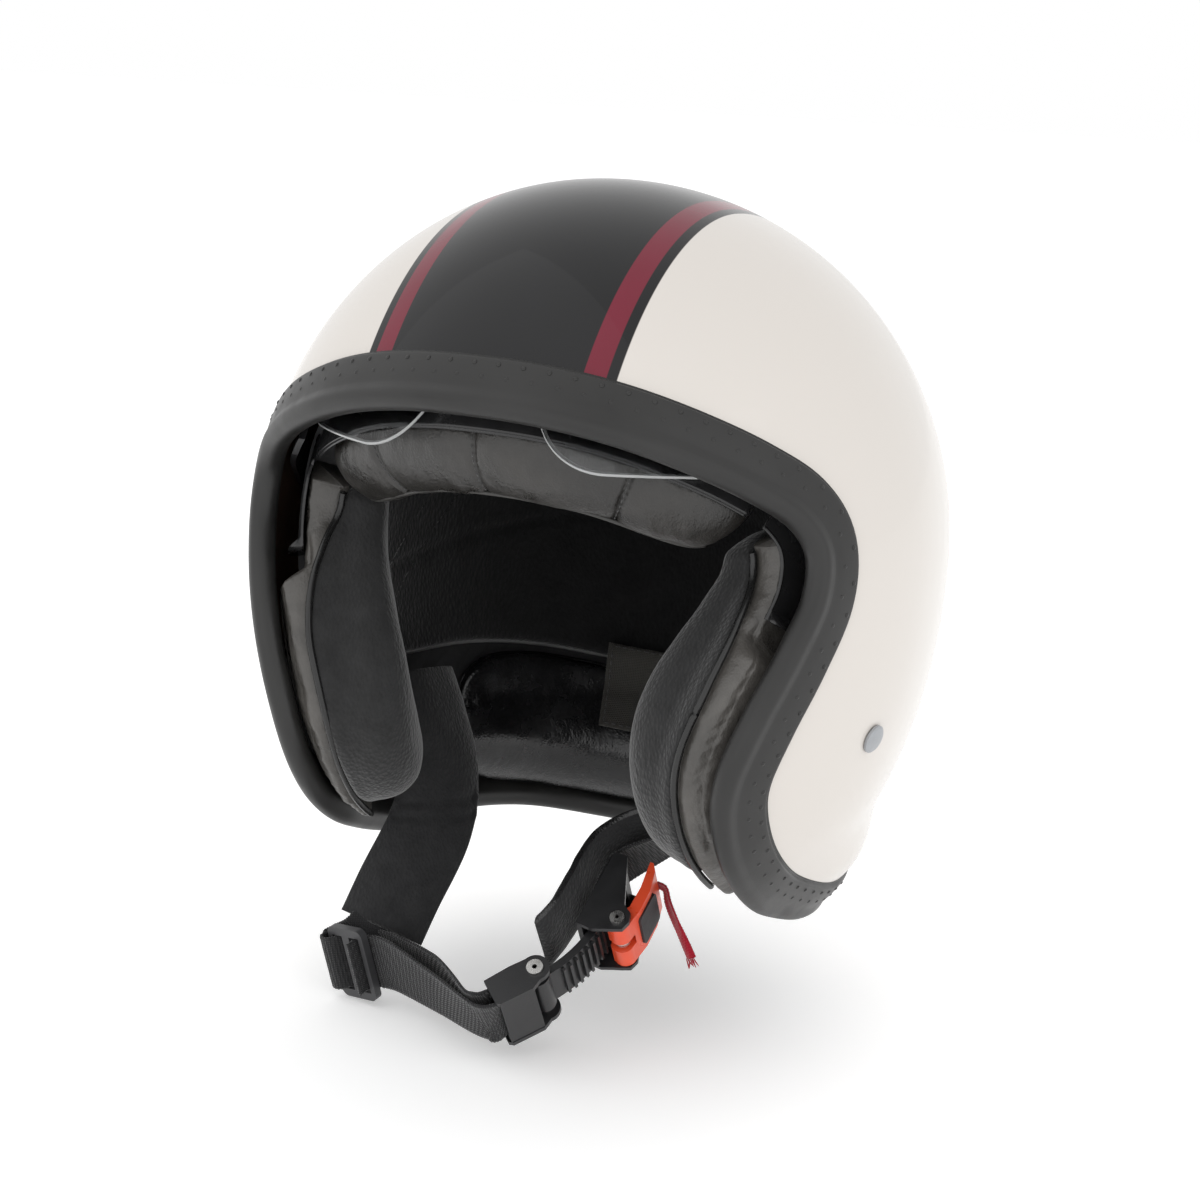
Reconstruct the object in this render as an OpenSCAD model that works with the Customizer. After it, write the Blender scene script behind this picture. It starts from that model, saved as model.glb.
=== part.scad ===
// Open face motorcycle helmet with a drop-down sun visor and a quick-release chin strap.
// Origin at the middle of the head space. +Z up, -Y forward, +X the wearer's left.

/* [Shell] */
// Half width of the outer shell
shell_half_width = 123; // [117:1:129]
// Reach of the outer shell in front of the origin
shell_front = 121; // [116:1:126]
// Reach of the outer shell behind the origin
shell_back = 150; // [144:1:156]
// Height of the crown above the origin
shell_top = 129; // [124:1:134]
// Depth at which the lower shell would close
shell_bottom = 157; // [152:1:162]
// Squareness of the lower shell, 2 is an ellipse
lower_power = 2.16; // [2:0.02:2.3]
// Outward flare of the lower rear rim
rim_flare = 6.5; // [3:0.5:9]
// Wall of the outer shell
shell_wall = 4; // [3:0.5:4.5]
// Diameter of the bores for the strap rivets
rivet_bore_d = 5.1; // [4.1:0.5:6.1]

/* [Edge trim] */
// Width of the trim's flange on the shell
flange_width = 13; // [10:1:16]
// How far the rounded bead stands off the shell edge
bead_reach = 6; // [4:0.5:7]

/* [Liner] */
// Depth of the foam liner's inner face below the shell surface
foam_depth = 28; // [25:1:31]
// Thickness of the comfort liner
liner_thick = 6.5; // [5:0.5:8]

/* [Sun visor] */
// Radius of the visor's outer face about its pivot axis
visor_radius = 112.5; // [111.5:0.5:113]
// Half width that the visor's profile would reach
visor_half_width = 112; // [111:0.5:112.5]
// Wall of the visor lens
visor_wall = 2.2; // [1.8:0.2:2.4]
// Upper edge of the visor, as an angle above level
visor_top_angle = 74; // [70:1:76]
// Diameter of the visor's pivot pins
pivot_pin_d = 5; // [4:0.5:6]

/* [Ratchet buckle] */
// Radius of the curve that the ratchet tongue follows
ratchet_radius = 48; // [46:1:50]
// Thickness of the tongue without its teeth
tongue_thick = 3; // [2.6:0.2:3]
// Width of the tongue
tongue_width = 17; // [14:0.5:18]
// Number of teeth on the tongue
tooth_count = 11; // [8:1:11]
// Diameter of the pins in the buckle and the bracket
buckle_pin_d = 4; // [3:0.5:4]
// Width of the strap webbing
webbing_width = 22; // [20:0.5:22]

/* [Hidden] */
$fn = 48;

// ---------- vectors ----------
function unit(v) = v / norm(v);
function clamp01(t) = max(0, min(1, t));
function ramp(t) = let (c = clamp01(t)) c * c * (3 - 2 * c);
function mix(a, b, t) = a + (b - a) * t;
function mirror_x(p) = [-p[0], p[1], p[2]];
function turn_between(a, b, t) =
  let (ang = acos(a * b)) (a * sin(ang * (1 - t)) + b * sin(ang * t)) / sin(ang);
function spline_point(a, b, c, d, t) =
  0.5 * (2 * b + (c - a) * t + (2 * a - 5 * b + 4 * c - d) * t * t + (3 * b - a - 3 * c + d) * t * t * t);
function closed_spline(p, steps) = let (n = len(p))
  [for (i = [0:n - 1], s = [0:steps - 1])
    spline_point(p[(i + n - 1) % n], p[i], p[(i + 1) % n], p[(i + 2) % n], s / steps)];
function open_spline(p, steps) = let (n = len(p))
  [for (i = [0:n - 2], s = [0:(i == n - 2 ? steps : steps - 1)])
    spline_point(p[max(i - 1, 0)], p[i], p[i + 1], p[min(i + 2, n - 1)], s / steps)];

// ---------- shell surface and its edge ----------
// Distance from the origin to the outer surface along a direction
function egg_radius(d) =
  let (b = d[1] < 0 ? shell_front : shell_back,
       c = d[2] < 0 ? shell_bottom : shell_top,
       q = d[2] < 0 ? lower_power : 2,
       h = pow(d[0] / shell_half_width, 2) + pow(d[1] / b, 2))
  pow(pow(h, q / 2) + pow(abs(d[2]) / c, q), -1 / q);
function shell_radius(d) = let (r = egg_radius(d))
  r + rim_flare * ramp((-r * d[2] - 86) / 18) * ramp((r * d[1] + 30) / 50);

// Edge of the shell from the brow, down the wearer's left side, to the nape
edge_half = [[0, -105, 64], [24, -103, 63], [48, -97, 59], [70, -87, 51.5], [88, -75, 42.5],
  [99.5, -64, 33], [106, -58.5, 21], [106.5, -60, 5], [102, -67, -13], [97, -76, -35],
  [93, -81, -58], [90.5, -76, -76], [90, -61, -96], [90, -35, -113.5], [88.5, -4, -121.5],
  [87, 26, -126], [80, 55, -130], [62, 79, -133], [34, 94, -136], [0, 99, -136]];
half_steps = len(edge_half) - 1;
edge_points = concat(edge_half, [for (i = [half_steps - 1:-1:1]) mirror_x(edge_half[i])]);
// Direction that the shell's grid lines spread from
pole = [0, cos(40), sin(40)];

// Stations run round the edge: station i sits at edge_points[i], and fractions lie between
station_count = len(edge_points);
function edge_raw(s) = let (n = station_count, m = (s % n + n) % n, i = floor(m))
  spline_point(edge_points[(i + n - 1) % n], edge_points[i], edge_points[(i + 1) % n],
    edge_points[(i + 2) % n], m - i);
function edge_at(s) = let (d = unit(edge_raw(s))) d * shell_radius(d);
function edge_run(s) = unit(edge_at(s + 0.05) - edge_at(s - 0.05));
function edge_inward(s) = let (p = unit(edge_at(s)), t = edge_run(s), v = cross(p, t))
  unit(v * pole > 0 ? v : -v);
// Point d mm in from the edge along the surface and k mm below the surface
function rim(s, d, k) = let (u = unit(edge_at(s) + edge_inward(s) * d)) u * (shell_radius(u) - k);
function station_value(list, s) = let (m = abs(s > station_count / 2 ? s - station_count : s), i = floor(m))
  i >= half_steps ? list[half_steps] : mix(list[i], list[i + 1], m - i);

// ---------- solids from grids ----------
// Closed solid from equal rings of points
module ring_solid(rings, loop = false) {
  n = len(rings[0]);
  m = len(rings);
  last = loop ? m - 1 : m - 2;
  walls = [for (i = [0:last], j = [0:n - 1], h = [0, 1])
    let (a = i * n + j, b = i * n + (j + 1) % n, c = ((i + 1) % m) * n + (j + 1) % n, d = ((i + 1) % m) * n + j)
    h == 0 ? [a, b, c] : [a, c, d]];
  ends = loop ? [] : concat([for (j = [1:n - 2]) [0, j + 1, j]],
    [for (j = [1:n - 2]) let (o = (m - 1) * n) [o, o + j, o + j + 1]]);
  polyhedron([for (r = rings) each r], concat(walls, ends), convexity = 8);
}
// Dome between two depths, out to a margin from the edge
module dome(stations, rows, outer, inner, margin) {
  n = len(stations);
  ends = [for (s = stations) unit(rim(s, margin(s), 0))];
  // Rows lie closer together towards the edge
  dirs = [for (i = [1:rows]) [for (j = [0:n - 1]) turn_between(pole, ends[j], 1 - pow(1 - i / rows, 1.35))]];
  points = concat([pole * outer(pole)], [for (r = dirs) for (u = r) u * outer(u)],
    [pole * inner(pole)], [for (r = dirs) for (u = r) u * inner(u)]);
  base = 1 + rows * n;
  tops = [for (j = [0:n - 1]) [0, 1 + j, 1 + (j + 1) % n]];
  skins = [for (i = [0:rows - 2], j = [0:n - 1], h = [0, 1])
    let (a = 1 + i * n + j, b = 1 + i * n + (j + 1) % n) h == 0 ? [a, a + n, b + n] : [a, b + n, b]];
  side_a = concat(tops, skins);
  side_b = [for (f = side_a) [f[2] + base, f[1] + base, f[0] + base]];
  lip = [for (j = [0:n - 1], h = [0, 1]) let (a = 1 + (rows - 1) * n + j, b = 1 + (rows - 1) * n + (j + 1) % n)
    h == 0 ? [a, a + base, b + base] : [a, b + base, b]];
  polyhedron(points, concat(side_a, side_b, lip), convexity = 8);
}
// Strap of flat section along a path, with its width direction at each point
module ribbon(path, across, width, thick, steps = 3) {
  p = open_spline(path, steps);
  w = open_spline(across, steps);
  n = len(p);
  c = 0.25 * thick;
  ring_solid([for (i = [0:n - 1])
    let (t = unit(p[min(i + 1, n - 1)] - p[max(i - 1, 0)]),
         s = unit(w[i] - (w[i] * t) * t), f = cross(t, s), a = width / 2, b = thick / 2)
    [for (q = [[a, -b + c], [a, b - c], [a - c, b], [-a + c, b], [-a, b - c], [-a, -b + c], [-a + c, -b], [a - c, -b]])
      p[i] + s * q[0] + f * q[1]]]);
}
// Section swept along the edge: section(s) gives [d, k] points
module edge_sweep(stations, section, loop = false) {
  ring_solid([for (s = stations) [for (q = section(s)) rim(s, q[0], q[1])]], loop);
}
function span(from, to, step) = [for (s = [from:step:to + step / 4]) s];
// Shrinks a closed section towards a point near both ends of a run; t runs 0 to 1
function middle_of(points) = [for (k = [0, 1]) ([for (p = points) 1] * [for (p = points) p[k]]) / len(points)];
function rounded_end(points, t, c) = let (g = sqrt(max(0.02, 1 - pow(2 * t - 1, 8))))
  [for (p = points) c + (p - c) * g];

// ---------- outer shell ----------
round_trip = span(0, station_count - 0.5, 0.5);
rivet_point = [115.9, -25, -47.5];
rivet_normal = unit([rivet_point[0] / pow(shell_half_width, 2), rivet_point[1] / pow(shell_front, 2),
  rivet_point[2] / pow(shell_bottom, 2)]);
rivet_seat = unit(rivet_point) * shell_radius(unit(rivet_point));
// Puts a part on the shell with +Z along the rivet's axis; side is 1 on the left, -1 on the right
module at_rivet(side) {
  x_dir = unit(cross([0, 0, 1], rivet_normal));
  y_dir = cross(rivet_normal, x_dir);
  place = [for (k = [0:2]) [x_dir[k], y_dir[k], rivet_normal[k], rivet_seat[k]]];
  mirror([side < 0 ? 1 : 0, 0, 0]) multmatrix(place) children();
}
module outer_shell() {
  color("ivory") difference() {
    dome(round_trip, 9, function (u) shell_radius(u), function (u) shell_radius(u) - shell_wall, function (s) 0);
    for (side = [-1, 1]) at_rivet(side) cylinder(d = rivet_bore_d, h = 20, center = true);
  }
}
module edge_trim() {
  color("dimgray") edge_sweep(round_trip, function (s)
    [[flange_width, -0.3], [flange_width - 1, -1.7], [1, -2.2], [-2.5, -2.6], [-5.2, -0.6], [-bead_reach, 2],
     [-5.2, 5], [-2.5, 6.8], [3, 6.8], [8, 6.2], [8, shell_wall + 0.8], [-0.3, shell_wall + 0.8],
     [-0.3, -0.3]], loop = true);
}

// ---------- foam liner with the visor's pocket ----------
// Room between a faceted skin and its neighbour
skin_gap = 2.1;
liner_gap = 2.1;
pocket_gap = 1.4;
// Reach of the visor's pivot boss, its pin and its screw head along X
boss_top = visor_half_width - 0.7;
screw_low = visor_half_width + 2.5;
function pocket_radius(u) = let (a = visor_half_width - visor_wall - pocket_gap,
    b = visor_radius - visor_wall - pocket_gap)
  1 / norm([u[0] / a, u[1] / b, u[2] / b]);
function foam_outer(u) =
  let (full = shell_radius(u) - shell_wall - skin_gap, tip = atan2(u[2], -u[1]),
       share = ramp((20 - u[1] * full) / 14) * ramp((u[2] * full + 48) / 20) * ramp((100 - tip) / 14))
  mix(full, min(full, pocket_radius(u)), share);
foam_margin = 9;
coarse_trip = span(0, station_count - 0.9, 1);
module foam_liner() {
  color("gray") difference() {
    dome(round_trip, 9, function (u) foam_outer(u), function (u) shell_radius(u) - foam_depth,
      function (s) foam_margin);
    for (side = [-1, 1]) at_rivet(side) {
      cylinder(d = 12, h = 80, center = true);
      translate([0, 0, -11]) cube([34, 30, 14], center = true);
    }
    for (side = [-1, 1]) on_side(side) translate([boss_top - 10.5, 0, 0]) rotate([0, 90, 0])
      cylinder(r = 9.5, h = 20);
  }
}
liner_margins = [26, 26, 26, 27, 30, 36, 46, 62, 72, 76, 76, 72, 64, 58, 56, 56, 56, 56, 56, 56];
module crown_liner() {
  color("black") dome(coarse_trip, 9, function (u) shell_radius(u) - foam_depth - liner_gap,
    function (u) shell_radius(u) - foam_depth - liner_gap - liner_thick, function (s) station_value(liner_margins, s));
}

// ---------- pads along the edge ----------
// The wearer's left side runs along rising stations, the right side is its mirror image
module on_side(side) { mirror([side < 0 ? 1 : 0, 0, 0]) children(); }
module neck_roll() {
  stations = span(15.5, station_count - 15.5, 0.5);
  color("black") edge_sweep(stations, function (s)
    rounded_end([[7.6, 8.5], [-2, 9.5], [-4, 17], [-2, 27], [6, 36], [28, 39], [44, 37], [50, 31.2], [9.5, 31], [7.4, 28]],
      (s - stations[0]) / (station_count - 31), [8, 30.8]));
}
brow_end = 4.9;
module brow_pad() {
  color("black") edge_sweep(span(-brow_end, brow_end, 0.35), function (s)
    rounded_end([[7.2, 19.5], [-4, 19.5], [-13, 23], [-21, 29], [-26, 37], [-24, 43], [-10, 45], [12, 43], [22, 37],
      [22, 30.2], [7.6, 30]], (s + brow_end) / (2 * brow_end), [5, 31]));
}
module brow_strip() {
  color("black") edge_sweep(span(-4.4, 4.4, 0.4), function (s)
    [[7.8, 15.8], [-5, 15.8], [-5.6, 16.5], [-5, 17.2], [7.8, 17.2]]);
}
// Share of the cheek section: 0 at the temple, 1 at the jaw
function jaw_share(s) = ramp((s - 6.4) / 3.2);
cheek_top = 5.7;
cheek_low = 12.9;
function cheek_corner(s) = mix([-6, 28.8], [-14, 13.5], jaw_share(s));
module cheek_pad(side) {
  stations = span(cheek_top, cheek_low, 0.4);
  color("dimgray") on_side(side) edge_sweep(stations, function (s)
    let (j = jaw_share(s), f = cheek_corner(s),
         section = [f + [-0.4, 0.8], mix([-10, 33], [-25, 21], j), mix([-12, 39], [-36, 31], j),
           mix([-10, 44], [-34, 41], j), mix([0, 46], [-14, 49], j), mix([14, 45], [16, 49], j),
           mix([24, 41], [36, 42], j), mix([27, 33], [42, 33], j), mix([24, 30.2], [40, 30.2], j), [7.8, 30]])
    rounded_end(section, (s - cheek_top) / (cheek_low - cheek_top), middle_of(section)));
}
// Depth of the plastic lip that closes the inner side of the visor's slot
pocket_edge_k = 15;
module cheek_panel(side) {
  stations = span(cheek_top, cheek_low, 0.4);
  color("saddlebrown") on_side(side) edge_sweep(stations, function (s)
    let (open = 1 - ramp((s - 8) / 0.4), f = cheek_corner(s))
    [[7.6, 28], [7.6, mix(8.4, 17.2, open)], [mix(-6.6, -4, open), mix(8.4, 17.2, open)],
     [mix(f[0] * 0.6 - 2.4, -5, open), mix(9.2, 18.4, open)], f]);
}
module cheek_piping(side) {
  color("black") on_side(side) edge_sweep(span(cheek_top + 0.2, cheek_low - 0.1, 0.4), function (s)
    [for (a = [0:60:300]) cheek_corner(s) + [-1.9, 0.2] + 1.2 * [cos(a), sin(a)]]);
}
module pocket_edge(side) {
  color("black") on_side(side) edge_sweep(span(cheek_top - 0.8, cheek_top + 2, 0.4), function (s)
    let (foot = pocket_edge_k - 4.6 * ramp((s - cheek_top - 1.6) / 0.4))
    [[7.6, foot], [-5.2, foot], [-5.6, pocket_edge_k + 0.8], [-5.2, pocket_edge_k + 1.6], [7.6, pocket_edge_k + 1.6]]);
}
module blank_label() {
  // Sewn patch with no print, inside the nape at the middle
  color("gray") edge_sweep(span(18.9, 20.15, 0.25), function (s)
    [[62, 39.6], [44, 39.9], [28, 40.5], [12, 39.2], [12, 39.9], [28, 41.2], [44, 40.6], [62, 40.3]]);
}

// ---------- sun visor ----------
visor_low_angle = 24;
module visor_profile() {
  polygon(concat(
    [for (a = [-72:6:72]) [visor_radius * cos(a), visor_half_width * sin(a)]],
    [for (a = [72:-6:-72]) [(visor_radius - visor_wall) * cos(a), (visor_half_width - visor_wall) * sin(a)]]));
}
// Turns a lens-shaped body of revolution so that its axis lies along X
module about_x() { rotate([0, 90, 0]) children(); }
// Front outline: two lobes with a nose arch between them
nose_arch_r = 26;
lobe_r = 30;
module lens_outline() {
  low = visor_radius * sin(visor_low_angle);
  difference() {
    union() {
      for (side = [-1, 1]) {
        translate([side * 54, low + lobe_r - 4]) circle(r = lobe_r, $fn = 96);
        translate([side * 80, low + 6]) circle(r = 8);
      }
      polygon([[-80, low - 2], [-54, low - 4], [54, low - 4], [80, low - 2], [88, low + 6], [88, 150], [-88, 150],
        [-88, low + 6]]);
    }
    translate([0, low - 6]) circle(r = nose_arch_r, $fn = 96);
  }
}
module sun_visor() {
  color([0.25, 0.27, 0.28, 0.5]) intersection() {
    about_x() rotate_extrude(angle = 360, $fn = 120) visor_profile();
    rotate([90, 0, 0]) linear_extrude(height = 140) lens_outline();
    rotate([-visor_top_angle, 0, 0]) translate([-130, -140, -200]) cube([260, 140, 200]);
  }
}
// Arm from the lens's side to the pivot: a strip of a shell that lies just outside the lens
arm_gap = 0.15;
arm_thick = 2;
arm_angle = 33;
module visor_arm(side) {
  bore = pivot_pin_d + 0.12;
  low = visor_half_width + arm_gap;
  color("black") on_side(side) difference() {
    intersection() {
      about_x() rotate_extrude(angle = 360, $fn = 120) polygon(concat(
        [for (a = [36:3:90]) [(visor_radius + arm_gap) * cos(a), low * sin(a)]],
        [for (a = [90:-3:36]) [(visor_radius + arm_gap + arm_thick) * cos(a), (low + arm_thick) * sin(a)]]));
      rotate([90, 0, 90]) linear_extrude(height = 140) {
        circle(r = 8.5);
        rotate(180 - arm_angle) polygon([[0, -7], [40, -6], [66, -7], [74, -4], [74, 6], [66, 9], [40, 6], [0, 7]]);
      }
    }
    translate([visor_half_width, 0, 0]) rotate([0, 90, 0]) cylinder(d = bore, h = 30, center = true);
  }
}
// Boss set in the foam, with the pin that the arm turns on and its screw head
module visor_pivot(side) {
  color("gray") on_side(side) rotate([0, 90, 0]) {
    translate([0, 0, boss_top - 9]) cylinder(r = 9, h = 9);
    translate([0, 0, boss_top - 1]) cylinder(d = pivot_pin_d, h = screw_low - boss_top + 2);
    translate([0, 0, screw_low]) difference() {
      cylinder(r = 5, h = 2);
      translate([0, 0, 1]) cylinder(r = 2, h = 2, $fn = 6);
    }
  }
}

// ---------- strap fixings in the shell ----------
module strap_rivet(side) {
  cap_low = 0.3;
  color("silver") at_rivet(side) rotate_extrude() polygon([[0, -10], [rivet_bore_d / 2 - 0.05, -10],
    [rivet_bore_d / 2 - 0.05, cap_low], [5, cap_low], [5, 1.1], [4.2, 1.7], [2.6, 2.1], [0, 2.3]]);
}
module strap_anchor(side) {
  color("silver") at_rivet(side) difference() {
    translate([-2, -4, -8.4]) linear_extrude(height = 1.6) offset(r = 3) square([18, 16], center = true);
    cylinder(d = rivet_bore_d, h = 40, center = true);
    translate([-2, -11, -12]) linear_extrude(height = 10) square([14, 3], center = true);
  }
}

// ---------- ratchet buckle ----------
// Width direction of the strap at the buckle, and the chord of the tongue towards the buckle
strap_across = unit([0.09, -0.60, 0.79]);
chord_hint = [0.39, 0.75, 0.53];
chord = unit(chord_hint - (chord_hint * strap_across) * strap_across);
inward = cross(strap_across, chord);
bracket_pin_point = [9, -48, -154];
pin_half_angle = 18.9;
// Far end of the tongue and its first tooth, as angles along its curve
tongue_end_angle = 28.5;
first_tooth_angle = -8;
arc_centre = bracket_pin_point + chord * ratchet_radius * sin(pin_half_angle)
  + inward * ratchet_radius * cos(pin_half_angle);
// Local frame on the tongue's curve: +X away from the neck, +Y towards the buckle, +Z across the strap
module on_arc(angle = 0) {
  place = [for (k = [0:2]) [-inward[k], chord[k], strap_across[k], arc_centre[k]]];
  multmatrix(place) rotate([0, 0, angle]) translate([ratchet_radius, 0, 0]) children();
}
module arc_bar(from, to, low, high, width) {
  place = [for (k = [0:2]) [-inward[k], chord[k], strap_across[k], arc_centre[k]]];
  multmatrix(place) rotate([0, 0, from]) rotate_extrude(angle = to - from, $fn = 240)
    translate([ratchet_radius + low, -width / 2]) square([high - low, width]);
}
tooth_pitch = 3.3;
tooth_height = 1.5;
lever_pin_x = 8;
module ratchet_tongue() {
  half = tongue_thick / 2;
  color("black") difference() {
    union() {
      arc_bar(-pin_half_angle, tongue_end_angle, -half, half, tongue_width);
      on_arc(-pin_half_angle) cylinder(d = 8.5, h = tongue_width + 1, center = true);
      for (i = [0:tooth_count - 1]) on_arc(first_tooth_angle + i * tooth_pitch)
        translate([half - 0.5, -0.5, -tongue_width / 2 + 1]) cube([tooth_height + 0.5, 1.1, tongue_width - 2]);
    }
    on_arc(-pin_half_angle) cylinder(d = buckle_pin_d + 0.1, h = 40, center = true);
  }
}
module bracket_pin() {
  color("silver") on_arc(-pin_half_angle) difference() {
    union() {
      cylinder(d = buckle_pin_d, h = 30, center = true);
      for (z = [-15.4, 14.6]) translate([0, 0, z]) cylinder(d = 6, h = 0.8);
    }
    cylinder(d = 1.8, h = 40, center = true);
  }
}
module webbing_bracket() {
  color("black") difference() {
    on_arc(-pin_half_angle) {
      for (z = [-14.5, 12.5]) translate([0, 0, z]) linear_extrude(height = 2) {
        circle(r = 5.2);
        polygon([[-5, 0], [5, 0], [7.2, -4], [7.2, -16.5], [6, -18], [-4.5, -18], [-5.2, -8]]);
      }
      translate([5.2, -17, -13.5]) cube([1.8, 13.4, 27]);
      translate([0, -14, 0]) cylinder(d = 4, h = 27, center = true);
    }
    on_arc(-pin_half_angle) cylinder(d = buckle_pin_d + 0.1, h = 40, center = true);
  }
}
module buckle_pin() {
  color("silver") on_arc(pin_half_angle) translate([lever_pin_x, 0, 0]) difference() {
    union() {
      cylinder(d = buckle_pin_d - 1, h = 29, center = true);
      for (z = [-14.9, 14.1]) translate([0, 0, z]) cylinder(d = 5.4, h = 0.8);
    }
    cylinder(d = 1.4, h = 40, center = true);
  }
}
// Underside of the buckle's floor, measured from the tongue's middle
frame_floor = -5.2;
module buckle_frame() {
  color("black") difference() {
    on_arc(pin_half_angle) {
      translate([frame_floor, -7, -14]) cube([2, 32, 28]);
      for (z = [-14, 12.2]) translate([0, 0, z]) linear_extrude(height = 1.8)
        polygon([[frame_floor, -7], [1, -7.5], [5, -6], [8, -5], [11.5, -3.6], [12.6, 0], [11.5, 3.6], [8, 6], [3, 18],
          [0, 25], [frame_floor, 25]]);
      translate([frame_floor + 1.8, 22, -12.6]) cube([1.8, 3, 25.2]);
    }
    on_arc(pin_half_angle) {
      translate([lever_pin_x, 0, 0]) cylinder(d = buckle_pin_d - 0.9, h = 40, center = true);
      translate([frame_floor - 1, 17.5, -11.5]) cube([6, 3, 23]);
    }
  }
}
// Place of the ribbon's slot along the lever
ribbon_slot_y = 25.5;
module lever_side() {
  translate([lever_pin_x, 0]) circle(r = 4.2);
  polygon([[4.2, -2.4], [5, -3.3], [8, -4.1], [12.2, 0], [13.4, 7], [13.2, 16], [11.4, 24], [9.4, 27], [8, 27],
    [8.4, 23.5], [9.4, 16], [9.2, 7], [7, 4.1], [5.2, 1.5]]);
}
module release_lever() {
  color("orangered") on_arc(pin_half_angle) difference() {
    translate([0, 0, -11.8]) linear_extrude(height = 23.6) lever_side();
    translate([lever_pin_x, 0, 0]) cylinder(d = buckle_pin_d - 0.9, h = 40, center = true);
    translate([12.2, 11.5, 0]) rotate([0, 90, 0]) linear_extrude(height = 4)
      offset(r = 2) square([13, 9], center = true);
    translate([lever_pin_x, 0, 0]) cylinder(r = 5, h = 5, center = true);
    translate([8, ribbon_slot_y, 0]) cube([20, 1.4, 7], center = true);
  }
}
module lever_grip() {
  color("dimgray") on_arc(pin_half_angle) translate([12.3, 11.5, 0]) rotate([0, 90, 0])
    linear_extrude(height = 1.7) offset(r = 1.9) square([13, 9], center = true);
}
module lever_spring() {
  color("silver") on_arc(pin_half_angle) translate([lever_pin_x, 0, 0])
    for (z = [-1.6, -0.5, 0.6]) translate([0, 0, z]) difference() {
      cylinder(d = 5.6, h = 0.9);
      translate([0, 0, -1]) cylinder(d = 4.2, h = 4);
    }
}
function arc_world(angle, out, along, across) =
  let (a = -inward, c = chord, x = a * cos(angle) + c * sin(angle), y = c * cos(angle) - a * sin(angle))
  arc_centre + x * (ratchet_radius + out) + y * along + strap_across * across;
module pull_ribbon() {
  tip = arc_world(pin_half_angle, 13.5, ribbon_slot_y, 0);
  color("crimson") ribbon([arc_world(pin_half_angle, 8.4, ribbon_slot_y, 0), tip, tip + [2.5, -1, -5],
      tip + [6, -1.5, -12.5], tip + [9, -1.5, -19], tip + [12, -1.5, -24.5]],
    [for (i = [0:5]) strap_across + [0.25 * i, 0, -0.08 * i]], 5, 1, 2);
}

// ---------- strap ----------
left_path = [[70, 5, -62], [62, 10, -76], [46, 13, -92], [28, 9, -106], arc_world(pin_half_angle, -12, 26, 5),
  arc_world(pin_half_angle, -12, 6, 6), arc_world(5, -12, 0, 6), arc_world(-8, -11, 0, 6)];
left_across = [[0, -1, 0], [-0.1, -0.97, 0.1], [-0.25, -0.9, 0.3], [-0.2, -0.8, 0.55], strap_across,
  strap_across, strap_across, strap_across];
module strap_sleeve_left() { color("black") ribbon(left_path, left_across, 32, 5, 2); }
right_path = [[-70, 5, -60], [-63, 2, -76], [-58, -3, -96], [-58, -13, -117], [-63, -25.5, -138], [-66, -33, -152]];
right_across = [[0, 1, 0], [0.2, 0.95, -0.2], [0.5, 0.75, -0.4], [0.8, 0.5, -0.35], [0.89, 0.34, -0.32],
  [0.89, 0.32, -0.32]];
module strap_sleeve_right() { color("black") ribbon(right_path, right_across, 33, 5, 2); }
module buckle_webbing() {
  color("black") ribbon([arc_world(pin_half_angle, -6.2, 8, 0), arc_world(pin_half_angle, -6.2, 26, 0),
      [35, 4, -108], [58.5, 3, -88.5], [75.5, -1, -68]],
    [strap_across, strap_across, [0, -0.85, 0.5], [0, -1, 0.2], [0, -1, 0]], webbing_width, 1.4, 2);
}
slider_across = unit([-0.18, -0.19, 0.96]);
slider_centre = [-73, -40, -165];
slider_hint = [0.95, -0.22, 0.06];
slider_run = unit(slider_hint - (slider_hint * slider_across) * slider_across);
slider_out = cross(slider_across, slider_run);
// Local frame of the slider: +X along the webbing towards the bracket, +Y towards the neck, +Z across
module on_slider() {
  place = [for (k = [0:2]) [slider_run[k], slider_out[k], slider_across[k], slider_centre[k]]];
  multmatrix(place) children();
}
function slider_world(along, out, across) = slider_centre + slider_run * along + slider_out * out
  + slider_across * across;
module strap_slider() {
  color("dimgray") on_slider() rotate([90, 0, 0]) difference() {
    linear_extrude(height = 3, center = true) offset(r = 3) square([12, webbing_width + 1.6], center = true);
    for (x = [-4.3, 4.3]) translate([x, 0, 0]) cube([5, webbing_width + 1, 20], center = true);
  }
}
// From the sleeve's end round the slider's outer bar and through its near slot
module webbing_end() {
  color("black") ribbon([right_path[5] + [0.4, 1.3, 2.6], slider_world(2.5, 7, 7), slider_world(-6, 5, 2.5),
      slider_world(-12, 2.2, 0), slider_world(-11.6, -3, 0), slider_world(-7.5, -3.6, 0),
      slider_world(-4.4, 0, 0), slider_world(-3.4, 4, 0)],
    [[-0.89, -0.34, 0.32], -unit([0.7, 0.3, -0.6]), unit([-0.35, -0.25, 0.85]), slider_across, slider_across,
      slider_across, slider_across, slider_across], webbing_width, 1.2, 2);
}
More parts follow.
